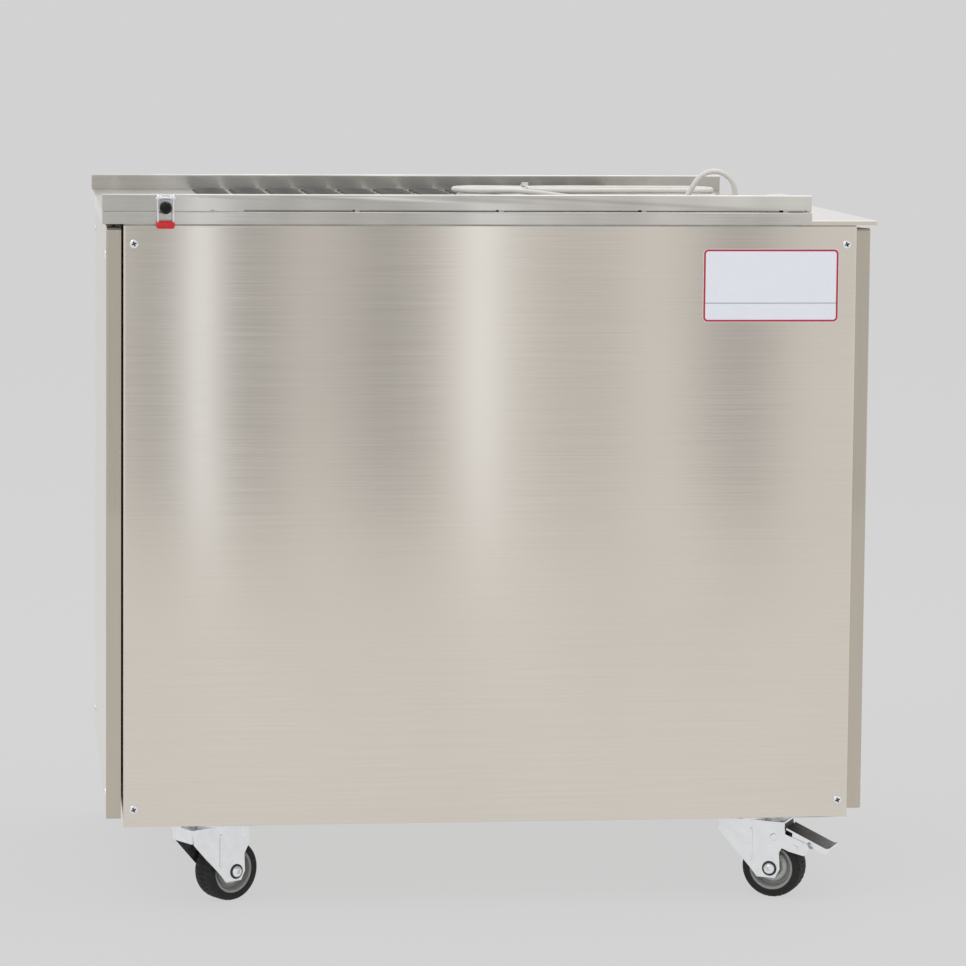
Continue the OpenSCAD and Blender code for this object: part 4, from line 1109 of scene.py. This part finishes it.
# In metres: half the paper's width, how far it reaches in front of the table, its height and its bend
HALF, FRONT, RISE, BEND = 12, 3.9, 9, 4
bpy.ops.object.select_all(action="DESELECT")
bpy.ops.mesh.primitive_plane_add(size=2 * HALF)
paper = bpy.context.active_object
paper.name = "backdrop"
edit(paper)
choose("edges", lambda e, m: near(m.y, -HALF))
bpy.ops.transform.translate(value=(0, HALF - FRONT, 0))
choose("edges", lambda e, m: near(m.y, HALF))
bpy.ops.mesh.extrude_edges_move(TRANSFORM_OT_translate={"value": (0, 0, RISE)})
choose("edges", lambda e, m: near(m.y, HALF) and near(m.z, 0))
bevel(BEND, 16)
leave()
rounded(paper, 80)

paper_finish = bpy.data.materials.new("studio_paper")
paper_finish.use_nodes = True
tree = paper_finish.node_tree
tree.nodes.clear()
ray = add_node(tree, "ShaderNodeLightPath")
surface = add_node(tree, "ShaderNodeBsdfDiffuse", values={"Color": linear(PAPER)})
# The steel sees lit paper in front of it, and the camera sees mostly the paper's own colour
for seen_by, part, strength in (("Is Glossy Ray", 0.8, 1.4), ("Is Camera Ray", 0.85, 1.03)):
    share = add_node(tree, "ShaderNodeMath", {0: ray.outputs[seen_by]}, {1: part}, operation="MULTIPLY")
    glow = add_node(tree, "ShaderNodeEmission", values={"Color": linear(PAPER), "Strength": strength})
    surface = add_node(tree, "ShaderNodeMixShader",
                       {0: share.outputs[0], 1: surface.outputs[0], 2: glow.outputs[0]})
add_node(tree, "ShaderNodeOutputMaterial", {"Surface": surface.outputs[0]})
clothe(paper, paper_finish)

# %% [markdown]
# The room round the table is drawn in the world, as a ramp of light and dark over the compass, with
# its bearing counted in degrees from the front. Two bright windows between darker walls turn into
# upright bands in the brushed steel. A ramp is kept as a table of 256 entries, so it covers only the
# bearings that matter, or the bands would blur.

# %% World
BEARINGS = (
    (-10, 0.5), (0, 0.5), (1.4, 0.44), (2.2, 0.27), (2.6, 0.4), (2.9, 1.0), (3.15, 0.45), (3.5, 0.26),
    (3.9, 0.31), (4.5, 0.43), (5.1, 0.38), (5.7, 0.28), (6.3, 0.34), (6.8, 0.5), (7.2, 0.78), (7.7, 0.48),
    (8.4, 0.4), (9, 0.4), (10, 0.5), (11.2, 0.3), (12.3, 0.48), (20, 0.5)
)
FIRST, LAST = BEARINGS[0][0], BEARINGS[-1][0]
# Light above WINDOW comes from a window, and is a little bluer than the walls
WINDOW, COOLER = 0.6, 0.12
world = bpy.data.worlds.new("studio")
bpy.context.scene.world = world
world.use_nodes = True
tree = world.node_tree
tree.nodes.clear()
heading = add_node(tree, "ShaderNodeTexCoord").outputs["Generated"]
parts = add_node(tree, "ShaderNodeSeparateXYZ", {"Vector": heading})
front = add_node(tree, "ShaderNodeMath", {0: parts.outputs["Y"]}, {1: -1.0}, operation="MULTIPLY")
bearing = add_node(tree, "ShaderNodeMath", {0: parts.outputs["X"], 1: front.outputs[0]}, operation="ARCTAN2")
along_ramp = ranged(tree, bearing.outputs[0], math.radians(FIRST), math.radians(LAST), 0, 1)
ramp = add_node(tree, "ShaderNodeValToRGB", {"Fac": along_ramp})
ramp.color_ramp.interpolation = "EASE"
for degrees, _ in BEARINGS[1:-1]:
    ramp.color_ramp.elements.new((degrees - FIRST) / (LAST - FIRST))
for stop, (_, light) in zip(ramp.color_ramp.elements, BEARINGS):
    cool = COOLER * max(0, light - WINDOW)
    stop.color = (light - cool, light, light + 2 * cool, 1)
room = add_node(tree, "ShaderNodeBackground", {"Color": ramp.outputs[0]}, {"Strength": 1.7})
plain = add_node(tree, "ShaderNodeBackground", values={"Color": linear(PAPER), "Strength": 1.0})
ray = add_node(tree, "ShaderNodeLightPath")
sky = add_node(tree, "ShaderNodeMixShader", {0: ray.outputs["Is Camera Ray"], 1: room.outputs[0],
                                             2: plain.outputs[0]})
add_node(tree, "ShaderNodeOutputWorld", {"Surface": sky.outputs[0]})


# %% Lamps
def softbox(name, location, target, size, power):
    data = bpy.data.lights.new(name, "AREA")
    data.shape = "RECTANGLE"
    data.size, data.size_y, data.energy = size, size, power
    lamp = new_object(name, data)
    lamp.location = location
    lamp.rotation_euler = (Vector(target) - Vector(location)).to_track_quat("-Z", "Y").to_euler()


softbox("key", (-2.4, -2.4, 3.6), (0, 0, 0.5), 2.2, 24)
softbox("top", (0.6, 0.8, 3.6), (0, 0, 0.8), 2.4, 20)

bpy.context.scene.view_settings.view_transform = "Standard"
print("studio ready")

# %% The last line
bpy.context.view_layer.update()
